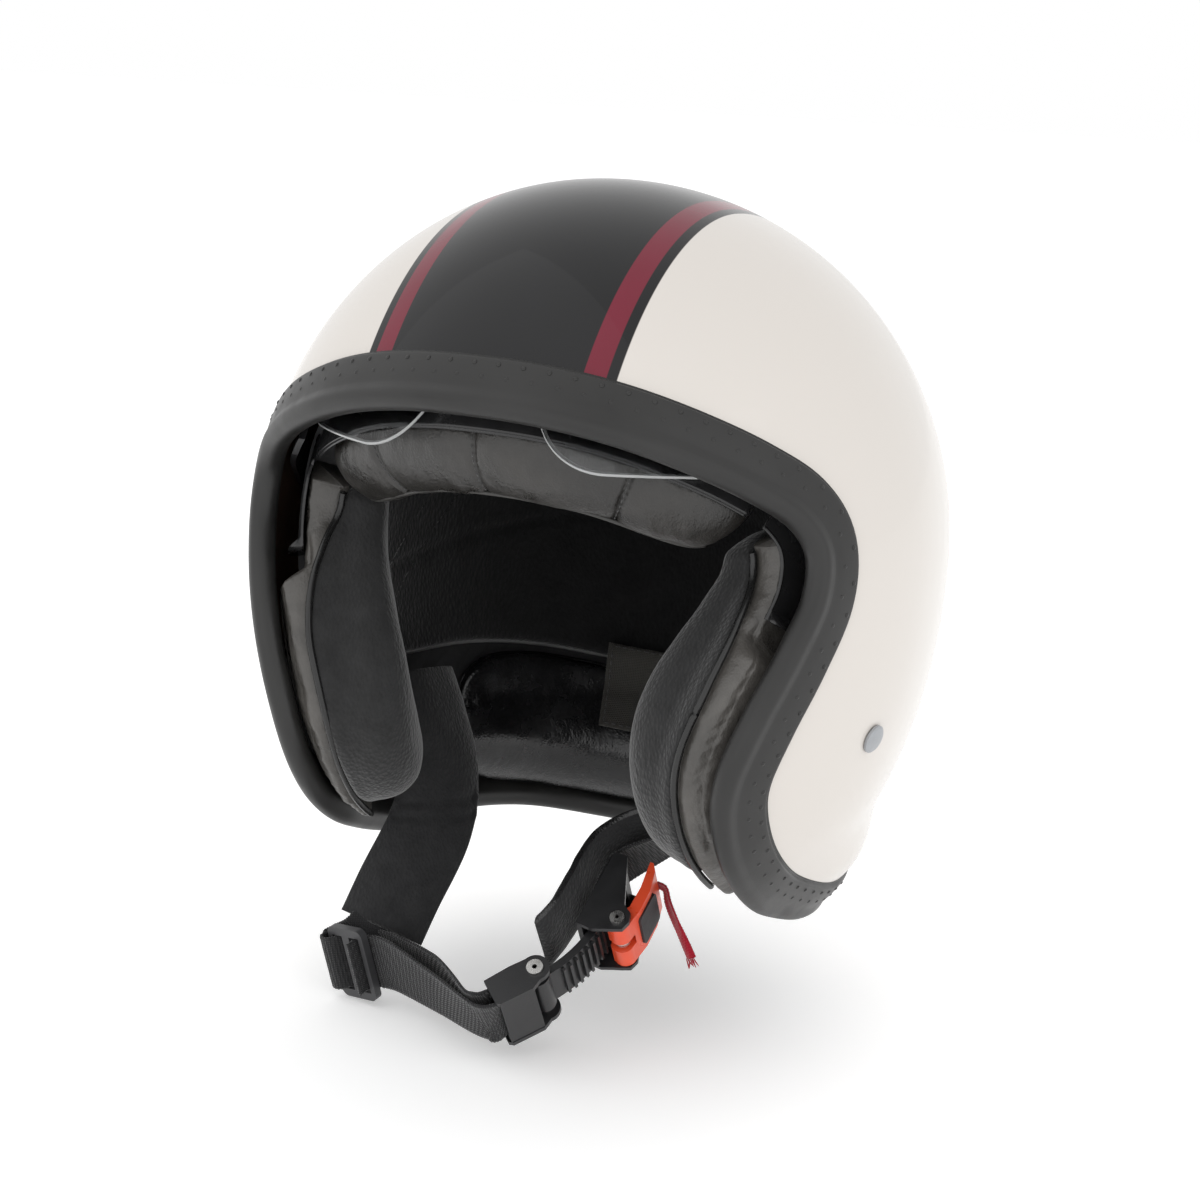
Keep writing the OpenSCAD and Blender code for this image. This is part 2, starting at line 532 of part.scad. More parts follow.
// Doubled webbing: through the far slot, along the front to the bracket's bar, round it and back behind
module strap_webbing() {
  bar = arc_world(-pin_half_angle, 0, -14, 0);
  out = arc_world(-pin_half_angle, 1, -14, 0) - bar;
  back = arc_world(-pin_half_angle, 0, -15, 0) - bar;
  half_turn = mix(slider_across, strap_across, 0.5);
  color("black") ribbon([slider_world(4.3, -5, 0), slider_world(4.3, 0, 0), slider_world(7.8, 3.2, 0),
      slider_world(18, 2.6, 0), [-32, -52, -164], bar + back * 12 + out * 3, bar + out * 3, bar - back * 3,
      bar - out * 3, bar + back * 12 - out * 3, [-33, -45.5, -161], slider_world(18, 7, 0),
      slider_world(9, 8, 0)],
    [for (i = [0:12]) i < 4 || i > 10 ? slider_across : i == 4 || i == 10 ? half_turn : strap_across],
    webbing_width, 1.4, 3);
}

outer_shell();
edge_trim();
foam_liner();
crown_liner();
neck_roll();
brow_pad();
brow_strip();
cheek_pad(1);  // cheek_pad_left
cheek_pad(-1);  // cheek_pad_right
cheek_panel(1);  // cheek_panel_left
cheek_panel(-1);  // cheek_panel_right
cheek_piping(1);  // cheek_piping_left
cheek_piping(-1);  // cheek_piping_right
pocket_edge(1);  // pocket_edge_left
pocket_edge(-1);  // pocket_edge_right
visor_pivot(1);  // visor_pivot_left
visor_pivot(-1);  // visor_pivot_right
sun_visor();
visor_arm(1);  // visor_arm_left
visor_arm(-1);  // visor_arm_right
strap_rivet(1);  // strap_rivet_left
strap_rivet(-1);  // strap_rivet_right
strap_anchor(1);  // strap_anchor_left
strap_anchor(-1);  // strap_anchor_right
blank_label();
strap_sleeve_left();
strap_sleeve_right();
buckle_webbing();
webbing_end();
strap_webbing();
strap_slider();
webbing_bracket();
bracket_pin();
ratchet_tongue();
buckle_frame();
buckle_pin();
release_lever();
lever_grip();
lever_spring();
pull_ribbon();
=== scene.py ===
"""Looks for the open face motorcycle helmet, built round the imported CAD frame.

Lengths are millimetres until the meshes are made. A station s counts the shell's edge points, from the middle
of the brow towards the wearer's left. A point [d, k] lies d mm in from the edge, k mm below the surface.
"""
import bmesh
import bpy
import math
import numpy as np
from mathutils import Matrix, Vector


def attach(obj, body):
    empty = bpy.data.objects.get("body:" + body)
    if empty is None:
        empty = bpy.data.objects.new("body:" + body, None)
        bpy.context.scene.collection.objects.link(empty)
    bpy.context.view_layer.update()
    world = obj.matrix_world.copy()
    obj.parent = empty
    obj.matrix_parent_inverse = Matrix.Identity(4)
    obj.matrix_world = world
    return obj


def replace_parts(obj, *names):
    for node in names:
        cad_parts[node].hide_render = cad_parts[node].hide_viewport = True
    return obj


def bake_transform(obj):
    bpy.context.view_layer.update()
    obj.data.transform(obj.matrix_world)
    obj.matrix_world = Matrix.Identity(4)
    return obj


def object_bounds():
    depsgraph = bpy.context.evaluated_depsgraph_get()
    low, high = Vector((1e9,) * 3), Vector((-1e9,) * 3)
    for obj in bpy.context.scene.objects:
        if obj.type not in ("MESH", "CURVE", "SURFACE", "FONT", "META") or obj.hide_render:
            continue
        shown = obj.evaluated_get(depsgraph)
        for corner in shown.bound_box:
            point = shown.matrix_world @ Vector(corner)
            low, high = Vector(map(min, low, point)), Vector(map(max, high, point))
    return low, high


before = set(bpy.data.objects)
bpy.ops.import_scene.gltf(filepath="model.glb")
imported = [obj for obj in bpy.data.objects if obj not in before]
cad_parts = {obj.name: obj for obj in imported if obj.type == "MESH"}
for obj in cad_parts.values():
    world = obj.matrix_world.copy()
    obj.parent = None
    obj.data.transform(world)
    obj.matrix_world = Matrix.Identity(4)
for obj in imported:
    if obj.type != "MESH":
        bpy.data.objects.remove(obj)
cad_low, cad_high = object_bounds()
MM = 0.001
rng = np.random.default_rng(11)

# ---------------------------------------------------------------- shell surface, as in the CAD source
HALF_WIDTH, FRONT, BACK, TOP, BOTTOM, POWER, FLARE, WALL = 123, 121, 150, 129, 157, 2.16, 6.5, 4
EDGE_HALF = [[0, -105, 64], [24, -103, 63], [48, -97, 59], [70, -87, 51.5], [88, -75, 42.5],
             [99.5, -64, 33], [106, -58.5, 21], [106.5, -60, 5], [102, -67, -13], [97, -76, -35],
             [93, -81, -58], [90.5, -76, -76], [90, -61, -96], [90, -35, -113.5], [88.5, -4, -121.5],
             [87, 26, -126], [80, 55, -130], [62, 79, -133], [34, 94, -136], [0, 99, -136]]
EDGE = np.array(EDGE_HALF + [[-x, y, z] for x, y, z in EDGE_HALF[-2:0:-1]], float)
STATIONS = len(EDGE)
POLE = np.array([0, math.cos(math.radians(40)), math.sin(math.radians(40))])


def unit(v):
    return v / np.linalg.norm(v, axis=-1, keepdims=True)


def ramp(t):
    c = np.clip(t, 0, 1)
    return c * c * (3 - 2 * c)


def mix(a, b, t):
    return a + (b - a) * t


def shell_radius(u):
    depth = np.where(u[..., 1] < 0, FRONT, BACK)
    height = np.where(u[..., 2] < 0, BOTTOM, TOP)
    power = np.where(u[..., 2] < 0, POWER, 2.0)
    flat = (u[..., 0] / HALF_WIDTH) ** 2 + (u[..., 1] / depth) ** 2
    r = (flat ** (power / 2) + (np.abs(u[..., 2]) / height) ** power) ** (-1 / power)
    return r + FLARE * ramp((-r * u[..., 2] - 86) / 18) * ramp((r * u[..., 1] + 30) / 50)


def spline(a, b, c, d, t):
    """Catmull-Rom point at share t between b and c."""
    square, cube = 2 * a - 5 * b + 4 * c - d, 3 * b - a - 3 * c + d
    return 0.5 * (2 * b + (c - a) * t + square * t * t + cube * t ** 3)


def catmull(p, i, t, closed=True):
    """Points of a Catmull-Rom curve through p at segment i and share t."""
    n = len(p)
    at = (lambda k: p[k % n]) if closed else (lambda k: p[np.clip(k, 0, n - 1)])
    return spline(at(i - 1), at(i), at(i + 1), at(i + 2), t[..., None])


def edge_at(s):
    s = np.mod(np.asarray(s, float), STATIONS)
    i = np.floor(s).astype(int)
    u = unit(catmull(EDGE, i, s - i))
    return u * shell_radius(u)[..., None]


def rim(s, d, k):
    """Point d mm in from the shell's edge at station s, k mm below the surface."""
    s, d, k = np.broadcast_arrays(np.asarray(s, float), d, k)
    p = edge_at(s)
    run = unit(edge_at(s + 0.05) - edge_at(s - 0.05))
    inward = unit(np.cross(unit(p), run))
    inward = inward * np.where(inward @ POLE > 0, 1.0, -1.0)[..., None]
    u = unit(p + inward * d[..., None])
    return u * (shell_radius(u) - k)[..., None]


def smooth_loop(points, per=6):
    """(rows, n, 2) control sections to (rows, n * per, 2) rounded ones; a doubled point keeps its corner."""
    p = np.asarray(points, float)
    n = p.shape[1]
    i = np.repeat(np.arange(n), per)
    t = np.tile(np.arange(per) / per, n)
    a, b, c, d = (p[:, (i + k) % n] for k in (-1, 0, 1, 2))
    return spline(a, b, c, d, t[None, :, None])


def wobble(p, size, seed, octaves=3):
    """Smooth noise from -1 to 1 at points p, with features of about that size."""
    r = np.random.default_rng(seed)
    total, weight = np.zeros(p.shape[:-1]), 0
    for octave in range(octaves):
        for _ in range(5):
            way = unit(r.normal(size=3)) * (2 * math.pi / size) * 1.8 ** octave
            total = total + np.sin(p @ way + r.uniform(0, 6.28)) * 0.6 ** octave
            weight += 0.6 ** octave
    return total / weight * 2.2


# ---------------------------------------------------------------- meshes
def mesh_object(name, verts, faces, materials, body="helmet", slots=None, slot=None):
    mesh = bpy.data.meshes.new(name)
    mesh.from_pydata((np.asarray(verts) * MM).tolist(), [], faces)
    for m in materials:
        mesh.materials.append(m)
    if slots is not None:
        mesh.polygons.foreach_set("material_index", np.asarray(slots, np.int32))
    mesh.polygons.foreach_set("use_smooth", [True] * len(mesh.polygons))
    mesh.update()
    obj = bpy.data.objects.new(name, mesh)
    bpy.context.collection.objects.link(obj)
    if body:
        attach(obj, body)
    return obj


def ring_faces(rows, cols, loop=False):
    faces = []
    for i in range(rows if loop else rows - 1):
        for j in range(cols):
            a, b = i * cols + j, i * cols + (j + 1) % cols
            c, d = ((i + 1) % rows) * cols + (j + 1) % cols, ((i + 1) % rows) * cols + j
            faces.append((a, b, c, d))
    if not loop:
        faces.append(tuple(reversed(range(cols))))
        faces.append(tuple(range((rows - 1) * cols, rows * cols)))
    return faces


def outward(obj):
    """Turns a closed mesh's faces to look out."""
    bm = bmesh.new()
    bm.from_mesh(obj.data)
    bmesh.ops.recalc_face_normals(bm, faces=bm.faces)
    bm.to_mesh(obj.data)
    bm.free()
    return obj


def rings(name, points, materials, loop=False, slots=None, **kw):
    rows, cols = points.shape[:2]
    faces = ring_faces(rows, cols, loop)
    if slots is not None:
        slots = np.concatenate([np.tile(slots, rows if loop else rows - 1), np.zeros(0 if loop else 2)])
    return outward(mesh_object(name, points.reshape(-1, 3), faces, materials, slots=slots, **kw))


def edge_sweep(name, stations, section, materials, loop=False, per=6, change=None, **kw):
    """Sweeps section(station) of [d, k] points along the shell's edge; change(s, dk, xyz) may adjust them."""
    s = np.asarray(stations, float)
    dk = smooth_loop(np.array([section(x) for x in s]), per)
    if change is not None:
        dk = change(s[:, None] * np.ones(dk.shape[:2]), dk, rim(s[:, None], dk[..., 0], dk[..., 1]))
    return rings(name, rim(s[:, None], dk[..., 0], dk[..., 1]), materials, loop=loop, **kw)


def rounded_end(points, t, centre, squareness=8):
    """A section drawn in round its centre as t nears 0 or 1, where the sweep ends."""
    g = math.sqrt(max(0.004, 1 - abs(2 * t - 1) ** squareness))
    p = np.array(points, float)
    return centre + (p - centre) * g


def spaced(low, high, count):
    """Stations that gather towards both ends, so that rounded ends stay smooth."""
    t = np.linspace(-1, 1, count)
    return mix(low, high, (np.sign(t) * (1 - (1 - np.abs(t)) ** 1.7) + 1) / 2)


def open_curve(points, steps):
    p = np.asarray(points, float)
    t = np.linspace(0, len(p) - 1, (len(p) - 1) * steps + 1)
    i = np.minimum(np.floor(t).astype(int), len(p) - 2)
    return catmull(p, i, t - i, closed=False)


def even(path, across, step):
    """Resamples a path and its width directions at even distances."""
    run = np.concatenate([[0], np.cumsum(np.linalg.norm(np.diff(path, axis=0), axis=1))])
    u = np.linspace(0, run[-1], max(4, int(run[-1] / step)))
    pick = lambda a: np.stack([np.interp(u, run, a[:, k]) for k in range(3)], 1)
    return pick(path), pick(across), u


def strip_frame(path, across):
    t = unit(np.gradient(path, axis=0))
    s = unit(across - np.sum(across * t, 1)[:, None] * t)
    return s, np.cross(t, s)


def tube(name, path, radius, material, cols=10, **kw):
    path = np.asarray(path, float)
    t = unit(np.gradient(path, axis=0))
    side = unit(np.cross(t, np.array([0.31, 0.2, 0.93])))
    up = np.cross(t, side)
    a = np.linspace(0, 2 * math.pi, cols, endpoint=False)
    r = np.broadcast_to(radius, len(path))[:, None, None]
    return rings(name, path[:, None] + r * (np.cos(a)[None, :, None] * side[:, None]
                                            + np.sin(a)[None, :, None] * up[:, None]), [material], **kw)


# ---------------------------------------------------------------- materials
def material(name, colour, roughness, **sockets):
    m = bpy.data.materials.new(name)
    m.use_nodes = True
    shader = m.node_tree.nodes["Principled BSDF"]
    shader.inputs["Base Color"].default_value = (*colour, 1)
    shader.inputs["Roughness"].default_value = roughness
    for key, value in sockets.items():
        shader.inputs[key.replace("_", " ")].default_value = value
    return m


class Nodes:
    """Short forms for the shader nodes that the materials share."""

    def __init__(self, m):
        self.tree = m.node_tree
        self.shader = self.tree.nodes["Principled BSDF"]
        self.place = self.new("ShaderNodeTexCoord").outputs["Object"]

    def new(self, kind, **settings):
        node = self.tree.nodes.new(kind)
        for key, value in settings.items():
            setattr(node, key, value)
        return node

    def link(self, a, b):
        self.tree.links.new(a, b)

    def noise(self, scale, detail=3, roughness=0.55, stretch=None):
        node = self.new("ShaderNodeTexNoise")
        node.inputs["Scale"].default_value = scale
        node.inputs["Detail"].default_value = detail
        node.inputs["Roughness"].default_value = roughness
        self.link(self.stretched(stretch), node.inputs["Vector"])
        return node.outputs["Fac"]

    def stretched(self, stretch):
        if stretch is None:
            return self.place
        mapping = self.new("ShaderNodeMapping")
        mapping.inputs["Scale"].default_value = stretch
        self.link(self.place, mapping.inputs["Vector"])
        return mapping.outputs["Vector"]

    def voronoi(self, scale, feature="F1", stretch=None):
        node = self.new("ShaderNodeTexVoronoi", feature=feature)
        node.inputs["Scale"].default_value = scale
        self.link(self.stretched(stretch), node.inputs["Vector"])
        return node.outputs["Distance"]

    def math(self, how, a, b=None, c=None):
        node = self.new("ShaderNodeMath", operation=how)
        for socket, value in zip(node.inputs, (a, b, c)):
            if value is None:
                continue
            if isinstance(value, (int, float)):
                socket.default_value = value
            else:
                self.link(value, socket)
        return node.outputs[0]

    def ranged(self, value, low, high, to_low=0.0, to_high=1.0):
        node = self.new("ShaderNodeMapRange")
        for key, number in (("From Min", low), ("From Max", high), ("To Min", to_low), ("To Max", to_high)):
            node.inputs[key].default_value = number
        self.link(value, node.inputs["Value"])
        return node.outputs["Result"]

    def colour(self, share, a, b):
        node = self.new("ShaderNodeMix", data_type="RGBA")
        self.link(share, node.inputs["Factor"])
        for socket, value in ((node.inputs[6], a), (node.inputs[7], b)):
            if isinstance(value, tuple):
                socket.default_value = (*value, 1)
            else:
                self.link(value, socket)
        return node.outputs[2]

    def bump(self, height, depth, strength=1.0):
        node = self.new("ShaderNodeBump")
        node.inputs["Distance"].default_value = depth
        node.inputs["Strength"].default_value = strength
        self.link(height, node.inputs["Height"])
        last = self.shader.inputs["Normal"]
        if last.is_linked:
            self.link(last.links[0].from_socket, node.inputs["Normal"])
        self.link(node.outputs["Normal"], last)

    def base(self, socket):
        self.link(socket, self.shader.inputs["Base Color"])

    def rough(self, socket):
        self.link(socket, self.shader.inputs["Roughness"])


LINE_INNER, LINE_OUTER, BAND_EDGE = 0.0344, 0.0413, 0.0445   # metres from the middle plane


def lacquer():
    """Cream lacquer with a black centre band and two crimson lines, under a clear coat."""
    m = material("shell_lacquer", (0.64, 0.60, 0.565), 0.25, Coat_Weight=0.4, Coat_Roughness=0.03,
                 Specular_IOR_Level=0.12)
    n = Nodes(m)
    x = n.new("ShaderNodeSeparateXYZ")
    n.link(n.place, x.inputs[0])
    across = n.math("ABSOLUTE", x.outputs["X"])
    blur = 0.00015
    inside = lambda edge: n.ranged(across, edge - blur, edge + blur)
    cream = n.colour(n.noise(9, 2), (0.625, 0.590, 0.552), (0.652, 0.616, 0.578))
    red = n.colour(n.noise(60, 2), (0.145, 0.010, 0.024), (0.17, 0.014, 0.032))
    black = n.colour(n.noise(25, 2), (0.006, 0.006, 0.0065), (0.011, 0.011, 0.012))
    body = n.colour(inside(LINE_INNER), black, red)
    body = n.colour(inside(LINE_OUTER), body, black)
    n.base(n.colour(inside(BAND_EDGE), body, cream))
    n.bump(n.noise(340, 1), 0.00002, 0.35)
    return m


def leather(name, dark, light, roughness=0.36, crease=0.0006):
    m = material(name, dark, roughness, Specular_IOR_Level=0.6)
    n = Nodes(m)
    n.base(n.colour(n.ranged(n.noise(38, 5, 0.65), 0.35, 0.7), dark, light))
    n.rough(n.ranged(n.noise(75, 4), 0.3, 0.75, roughness - 0.08, roughness + 0.16))
    n.bump(n.voronoi(760, "DISTANCE_TO_EDGE"), 0.00022, 0.55)
    n.bump(n.noise(150, 5, 0.7, (1, 1, 0.45)), crease, 0.5)
    return m


def knit(name, dark, light, scale=820, depth=0.00035):
    m = material(name, dark, 0.85, Sheen_Weight=0.35, Sheen_Roughness=0.45, Specular_IOR_Level=0.25)
    n = Nodes(m)
    n.base(n.colour(n.ranged(n.noise(120, 6, 0.7), 0.3, 0.7), dark, light))
    n.bump(n.voronoi(scale, "F1", (1, 1, 0.62)), depth, 0.8)
    n.bump(n.noise(2600, 2), 0.00012, 0.5)
    return m


def moulded(name, colour, roughness, grain=0.00006, scale=1400, light=None, **sockets):
    m = material(name, colour, roughness, **sockets)
    n = Nodes(m)
    light = light or tuple(c * 1.35 + 0.002 for c in colour)
    n.base(n.colour(n.ranged(n.noise(45, 4), 0.35, 0.7), colour, light))
    n.rough(n.ranged(n.noise(90, 4), 0.3, 0.7, max(0.02, roughness - 0.06), roughness + 0.08))
    n.bump(n.noise(scale, 3), grain, 0.6)
    return m


def metal(name, colour, roughness):
    m = material(name, colour, roughness, Metallic=1.0)
    n = Nodes(m)
    n.rough(n.ranged(n.noise(260, 4), 0.3, 0.7, roughness - 0.05, roughness + 0.12))
    n.bump(n.noise(700, 3), 0.000008, 0.4)
    return m


def woven(name, dark, light, scale, sheen=0.3):
    """Plain weave from two crossed waves."""
    m = material(name, dark, 0.8, Sheen_Weight=sheen, Sheen_Roughness=0.4, Specular_IOR_Level=0.3)
    n = Nodes(m)
    waves = []
    for way in ("X", "Z"):
        wave = n.new("ShaderNodeTexWave", bands_direction=way)
        wave.inputs["Scale"].default_value = scale
        wave.inputs["Distortion"].default_value = 0.6
        n.link(n.place, wave.inputs["Vector"])
        waves.append(wave.outputs["Fac"])
    weave = n.math("MULTIPLY", waves[0], waves[1])
    n.base(n.colour(n.math("MULTIPLY", weave, n.noise(300, 3)), dark, light))
    n.bump(weave, 0.0003, 0.7)
    return m


LACQUER = lacquer()
RAW_SHELL = moulded("raw_shell", (0.060, 0.030, 0.018), 0.6, 0.0002, 500, light=(0.12, 0.065, 0.04))
RUBBER = moulded("trim_rubber_satin", (0.0115, 0.0112, 0.0108), 0.40, 0.00005, 1500, Specular_IOR_Level=0.46)
FOAM = moulded("foam_beads", (0.018, 0.018, 0.019), 0.8, 0.0004, 380)
LINER = knit("liner_cloth", (0.0045, 0.0045, 0.0048), (0.009, 0.009, 0.0095), 700)
LINER_MESH = knit("liner_mesh", (0.003, 0.003, 0.003), (0.016, 0.016, 0.016), 330, 0.0012)
LEATHER = leather("brow_leatherette", (0.013, 0.0120, 0.0108), (0.030, 0.0275, 0.0245), 0.30, 0.0013)
PANEL_LEATHER = leather("panel_leatherette", (0.046, 0.043, 0.039), (0.088, 0.082, 0.075), 0.33, 0.0011)
BLACK_LEATHER = leather("black_leatherette", (0.008, 0.008, 0.0085), (0.018, 0.018, 0.019), 0.22, 0.0012)
PAD_KNIT = knit("pad_knit", (0.014, 0.014, 0.0142), (0.023, 0.023, 0.0235))
SLEEVE_KNIT = knit("sleeve_knit", (0.014, 0.014, 0.015), (0.024, 0.024, 0.025), 900)
PIPING = moulded("piping_cord", (0.007, 0.007, 0.007), 0.25, 0.00008, 900)
WELT = moulded("welt_cord", (0.030, 0.029, 0.027), 0.45, 0.00012, 1200)
STRIP_PLASTIC = moulded("strip_plastic", (0.014, 0.014, 0.0145), 0.22, 0.00003, 900)
PLASTIC = moulded("buckle_plastic", (0.012, 0.012, 0.013), 0.34, 0.00006, 1300)
SLIDER_PLASTIC = moulded("slider_plastic", (0.034, 0.034, 0.036), 0.42, 0.00007, 1300)
GRIP = moulded("grip_rubber", (0.020, 0.020, 0.022), 0.6, 0.00015, 1200)
LEVER_PAINT = moulded("lever_paint", (0.78, 0.075, 0.025), 0.3, 0.00003, 900, light=(0.84, 0.095, 0.035))
STEEL = metal("pin_steel", (0.74, 0.73, 0.71), 0.22)
RIVET = moulded("rivet_cap", (0.30, 0.31, 0.325), 0.42, 0.00004, 1200, Metallic=0.45)
WEBBING = woven("strap_weave", (0.016, 0.016, 0.017), (0.044, 0.044, 0.046), 420)
RIBBON = woven("ribbon_weave", (0.34, 0.004, 0.018), (0.62, 0.012, 0.045), 520, 0.5)
LABEL = woven("label_weave", (0.050, 0.048, 0.043), (0.11, 0.105, 0.095), 480, 0.15)
THREAD = woven("thread", (0.05, 0.05, 0.05), (0.12, 0.12, 0.12), 900)
VISOR = material("visor_smoke", (0.72, 0.73, 0.74), 0.015, Transmission_Weight=1.0, IOR=1.45)
# painted highlight: the lens's rounded edge gets a lighter, partly clear grey instead of the lens's own
# smoke, so that it shows as a bright line
VISOR_EDGE_HIGHLIGHT = material("visor_edge_painted_highlight", (0.55, 0.56, 0.56), 0.12, Transmission_Weight=0.35, IOR=1.45)

CAD_LOOKS = {
    "foam_liner": FOAM, "visor_pivot_left": PLASTIC, "visor_pivot_right": PLASTIC,
    "visor_arm_left": PLASTIC, "visor_arm_right": PLASTIC,
    "strap_rivet_left": RIVET, "strap_rivet_right": RIVET,
    "strap_anchor_left": STEEL, "strap_anchor_right": STEEL, "strap_slider": SLIDER_PLASTIC,
    "webbing_bracket": PLASTIC, "bracket_pin": STEEL, "ratchet_tongue": PLASTIC, "buckle_frame": PLASTIC,
    "buckle_pin": STEEL, "release_lever": LEVER_PAINT, "lever_grip": GRIP, "lever_spring": STEEL,
}
for node_name, look in CAD_LOOKS.items():
    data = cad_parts[node_name].data
    data.materials.clear()
    data.materials.append(look)
BEVELS = {"strap_slider": 0.7, "webbing_bracket": 0.5, "ratchet_tongue": 0.25, "buckle_frame": 0.4,
          "release_lever": 0.6, "lever_grip": 0.4}
for node_name, width in BEVELS.items():
    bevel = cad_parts[node_name].modifiers.new("soft_edges", "BEVEL")
    bevel.width, bevel.segments, bevel.limit_method = width * MM, 2, "ANGLE"
    bevel.angle_limit = math.radians(38)
    bevel.harden_normals = True

# ---------------------------------------------------------------- visor lens
VISOR_RADIUS, VISOR_HALF, LENS_WALL, LENS_HALF = 112.5, 112.0, 2.2, 87.6
LENS_TOP = math.radians(74) - 0.012
LENS_LOW = VISOR_RADIUS * math.sin(math.radians(24))
LENS_INSET = 1.05                    # from the CAD lens's edge in to where the rounding starts
LENS_SKIN = 0.05                     # how far the drawn faces lie inside the CAD lens's faces
ARCH, ARCH_Z = 26.0, -6              # the nose arch's radius, and its centre's height above LENS_LOW
TURN, TURN_Z = 26.0, 22              # the same for the turn from the arch into a lobe
CORNER_X, CORNER_RUN, CORNER_RISE = 72, 16, 10


def lens_edge(x):
    """Height of the lens's lower edge: a nose arch that runs into two rounded lobes."""
    x = np.abs(x)
    reach = math.sqrt((ARCH + TURN) ** 2 - (TURN_Z - ARCH_Z) ** 2)
    lobe = TURN_Z - np.sqrt(np.clip(TURN ** 2 - (x - reach) ** 2, 0, None))
    nose = ARCH_Z + np.sqrt(np.clip(ARCH ** 2 - x ** 2, 0, None))
    z = np.where(x < reach, lobe, TURN_Z - TURN)
    z = np.where(x < reach * ARCH / (ARCH + TURN), nose, z)
    return LENS_LOW + z + CORNER_RISE * ramp((x - CORNER_X) / CORNER_RUN) ** 2


def visor_lens():
    """Curved lens with a rounded edge, from its outside round the edge to its inside."""
    cols, rows = 181, 30
    x = np.linspace(-LENS_HALF, LENS_HALF, cols)
    edge_round = [(0, 0.0), (0.04, -0.55), (0.5, -1.0), (0.96, -0.55), (1, 0.0)]
    layers = []
    spread = np.linspace(0, 1, rows)
    for depth, pull in edge_round:
        sunk = LENS_SKIN + depth * (LENS_WALL - 2 * LENS_SKIN)
        radius = (VISOR_RADIUS - sunk) * np.sqrt(1 - (x / (VISOR_HALF - sunk)) ** 2)
        low = np.arcsin(np.clip((lens_edge(x) + LENS_INSET + pull) / radius, -1, 1))
        t = spread if depth in (0, 1) else np.array([0.0, 1.0])
        angle = low + (LENS_TOP - low) * t[:, None]
        layers.append(np.stack([x + 0 * angle, -radius * np.cos(angle), radius * np.sin(angle)], -1))
    outside, inside = layers[0], layers[-1]
    ring = np.concatenate([outside[::-1], layers[1][:1], layers[2][:1], layers[3][:1], inside, layers[3][1:],
                           layers[2][1:], layers[1][1:]])
    ring = ring.transpose(1, 0, 2)
    # the rounded edge's faces take the second material, the painted highlight
    highlight_edge_faces = np.zeros(ring.shape[1], int)
    highlight_edge_faces[rows - 1:rows + 3] = 1
    highlight_edge_faces[2 * rows + 2:] = 1
    return rings("visor_lens", ring, [VISOR, VISOR_EDGE_HIGHLIGHT], slots=highlight_edge_faces, body="visor", slot="visor_clear")


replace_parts(visor_lens(), "sun_visor")

# ---------------------------------------------------------------- shell and trim
EDGE_TRIP = np.arange(0, STATIONS, 1 / 8)
DOME_ROWS = 70


def dome_points(stations, rows, depth, margin):
    ends = unit(rim(stations, margin, 0.0))
    ang = np.arccos(np.clip(ends @ POLE, -1, 1))[None, :, None]
    t = (np.arange(0, rows + 1) / rows)[:, None, None]
    u = (POLE * np.sin(ang * (1 - t)) + ends[None] * np.sin(ang * t)) / np.sin(ang)
    u = unit(u)
    return u * (shell_radius(u) - depth)[..., None]


def dome(name, stations, rows, outer, inner, margin, materials, shape=None, **kw):
    """Closed dome between two depths; shape(points) changes the inner face."""
    top = dome_points(stations, rows, outer, margin)
    low = dome_points(stations, rows, inner, margin)
    if shape is not None:
        low = shape(low)
    n, base = len(stations), 1 + rows * len(stations)
    verts = np.concatenate([top[0, :1], top[1:].reshape(-1, 3), low[0, :1], low[1:].reshape(-1, 3)])
    faces, slots = [], []
    for half in (0, 1):
        o = half * base
        order = (lambda f: f) if half == 0 else (lambda f: tuple(reversed(f)))
        faces += [order((o, o + 1 + j, o + 1 + (j + 1) % n)) for j in range(n)]
        faces += [order((o + 1 + i * n + j, o + 1 + (i + 1) * n + j, o + 1 + (i + 1) * n + (j + 1) % n,
                         o + 1 + i * n + (j + 1) % n)) for i in range(rows - 1) for j in range(n)]
        slots += [half] * (n + (rows - 1) * n)
    last = 1 + (rows - 1) * n
    faces += [(last + j, base + last + j, base + last + (j + 1) % n, last + (j + 1) % n) for j in range(n)]
    slots += [1] * n
    obj = mesh_object(name, verts, faces, materials, slots=slots, **kw)
    return outward(obj)


shell = dome("shell_skin", EDGE_TRIP, DOME_ROWS, 0.0, WALL, 0.0, [LACQUER, RAW_SHELL], slot="shell_paint")
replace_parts(shell, "outer_shell")

TRIM = [[13, -0.1], [13, -0.1], [12.6, -1.2], [11.5, -1.6], [6, -1.9], [2.4, -1.85], [1.0, -2.1],
        [-1.6, -2.8], [-4.2, -2.0], [-5.8, 0.0], [-6.1, 2.6], [-5.0, 5.0], [-2.6, 6.6], [2, 6.8], [7.6, 6.3],
        [8, 6.2], [8, 4.8], [8, 4.8], [-0.3, 4.8], [-0.3, 4.8], [-0.3, -0.1], [-0.3, -0.1]]
trim = edge_sweep("trim_band", EDGE_TRIP, lambda s: TRIM, [RUBBER], loop=True, per=4, slot="trim_rubber")
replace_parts(trim, "edge_trim")


DOT_ROWS, DOT_PITCH, DOT_SIDES, DOT_SINK, DOT_TOP = (10.4, 5.9), 8.3, 10, 0.1, 0.42
DOT_LEVELS = ((0.95, 0.0), (0.72, 0.30), (0.38, 0.46))   # radius and height
FLANGE_TOP, FLANGE_SLOPE = -1.66, 0.02


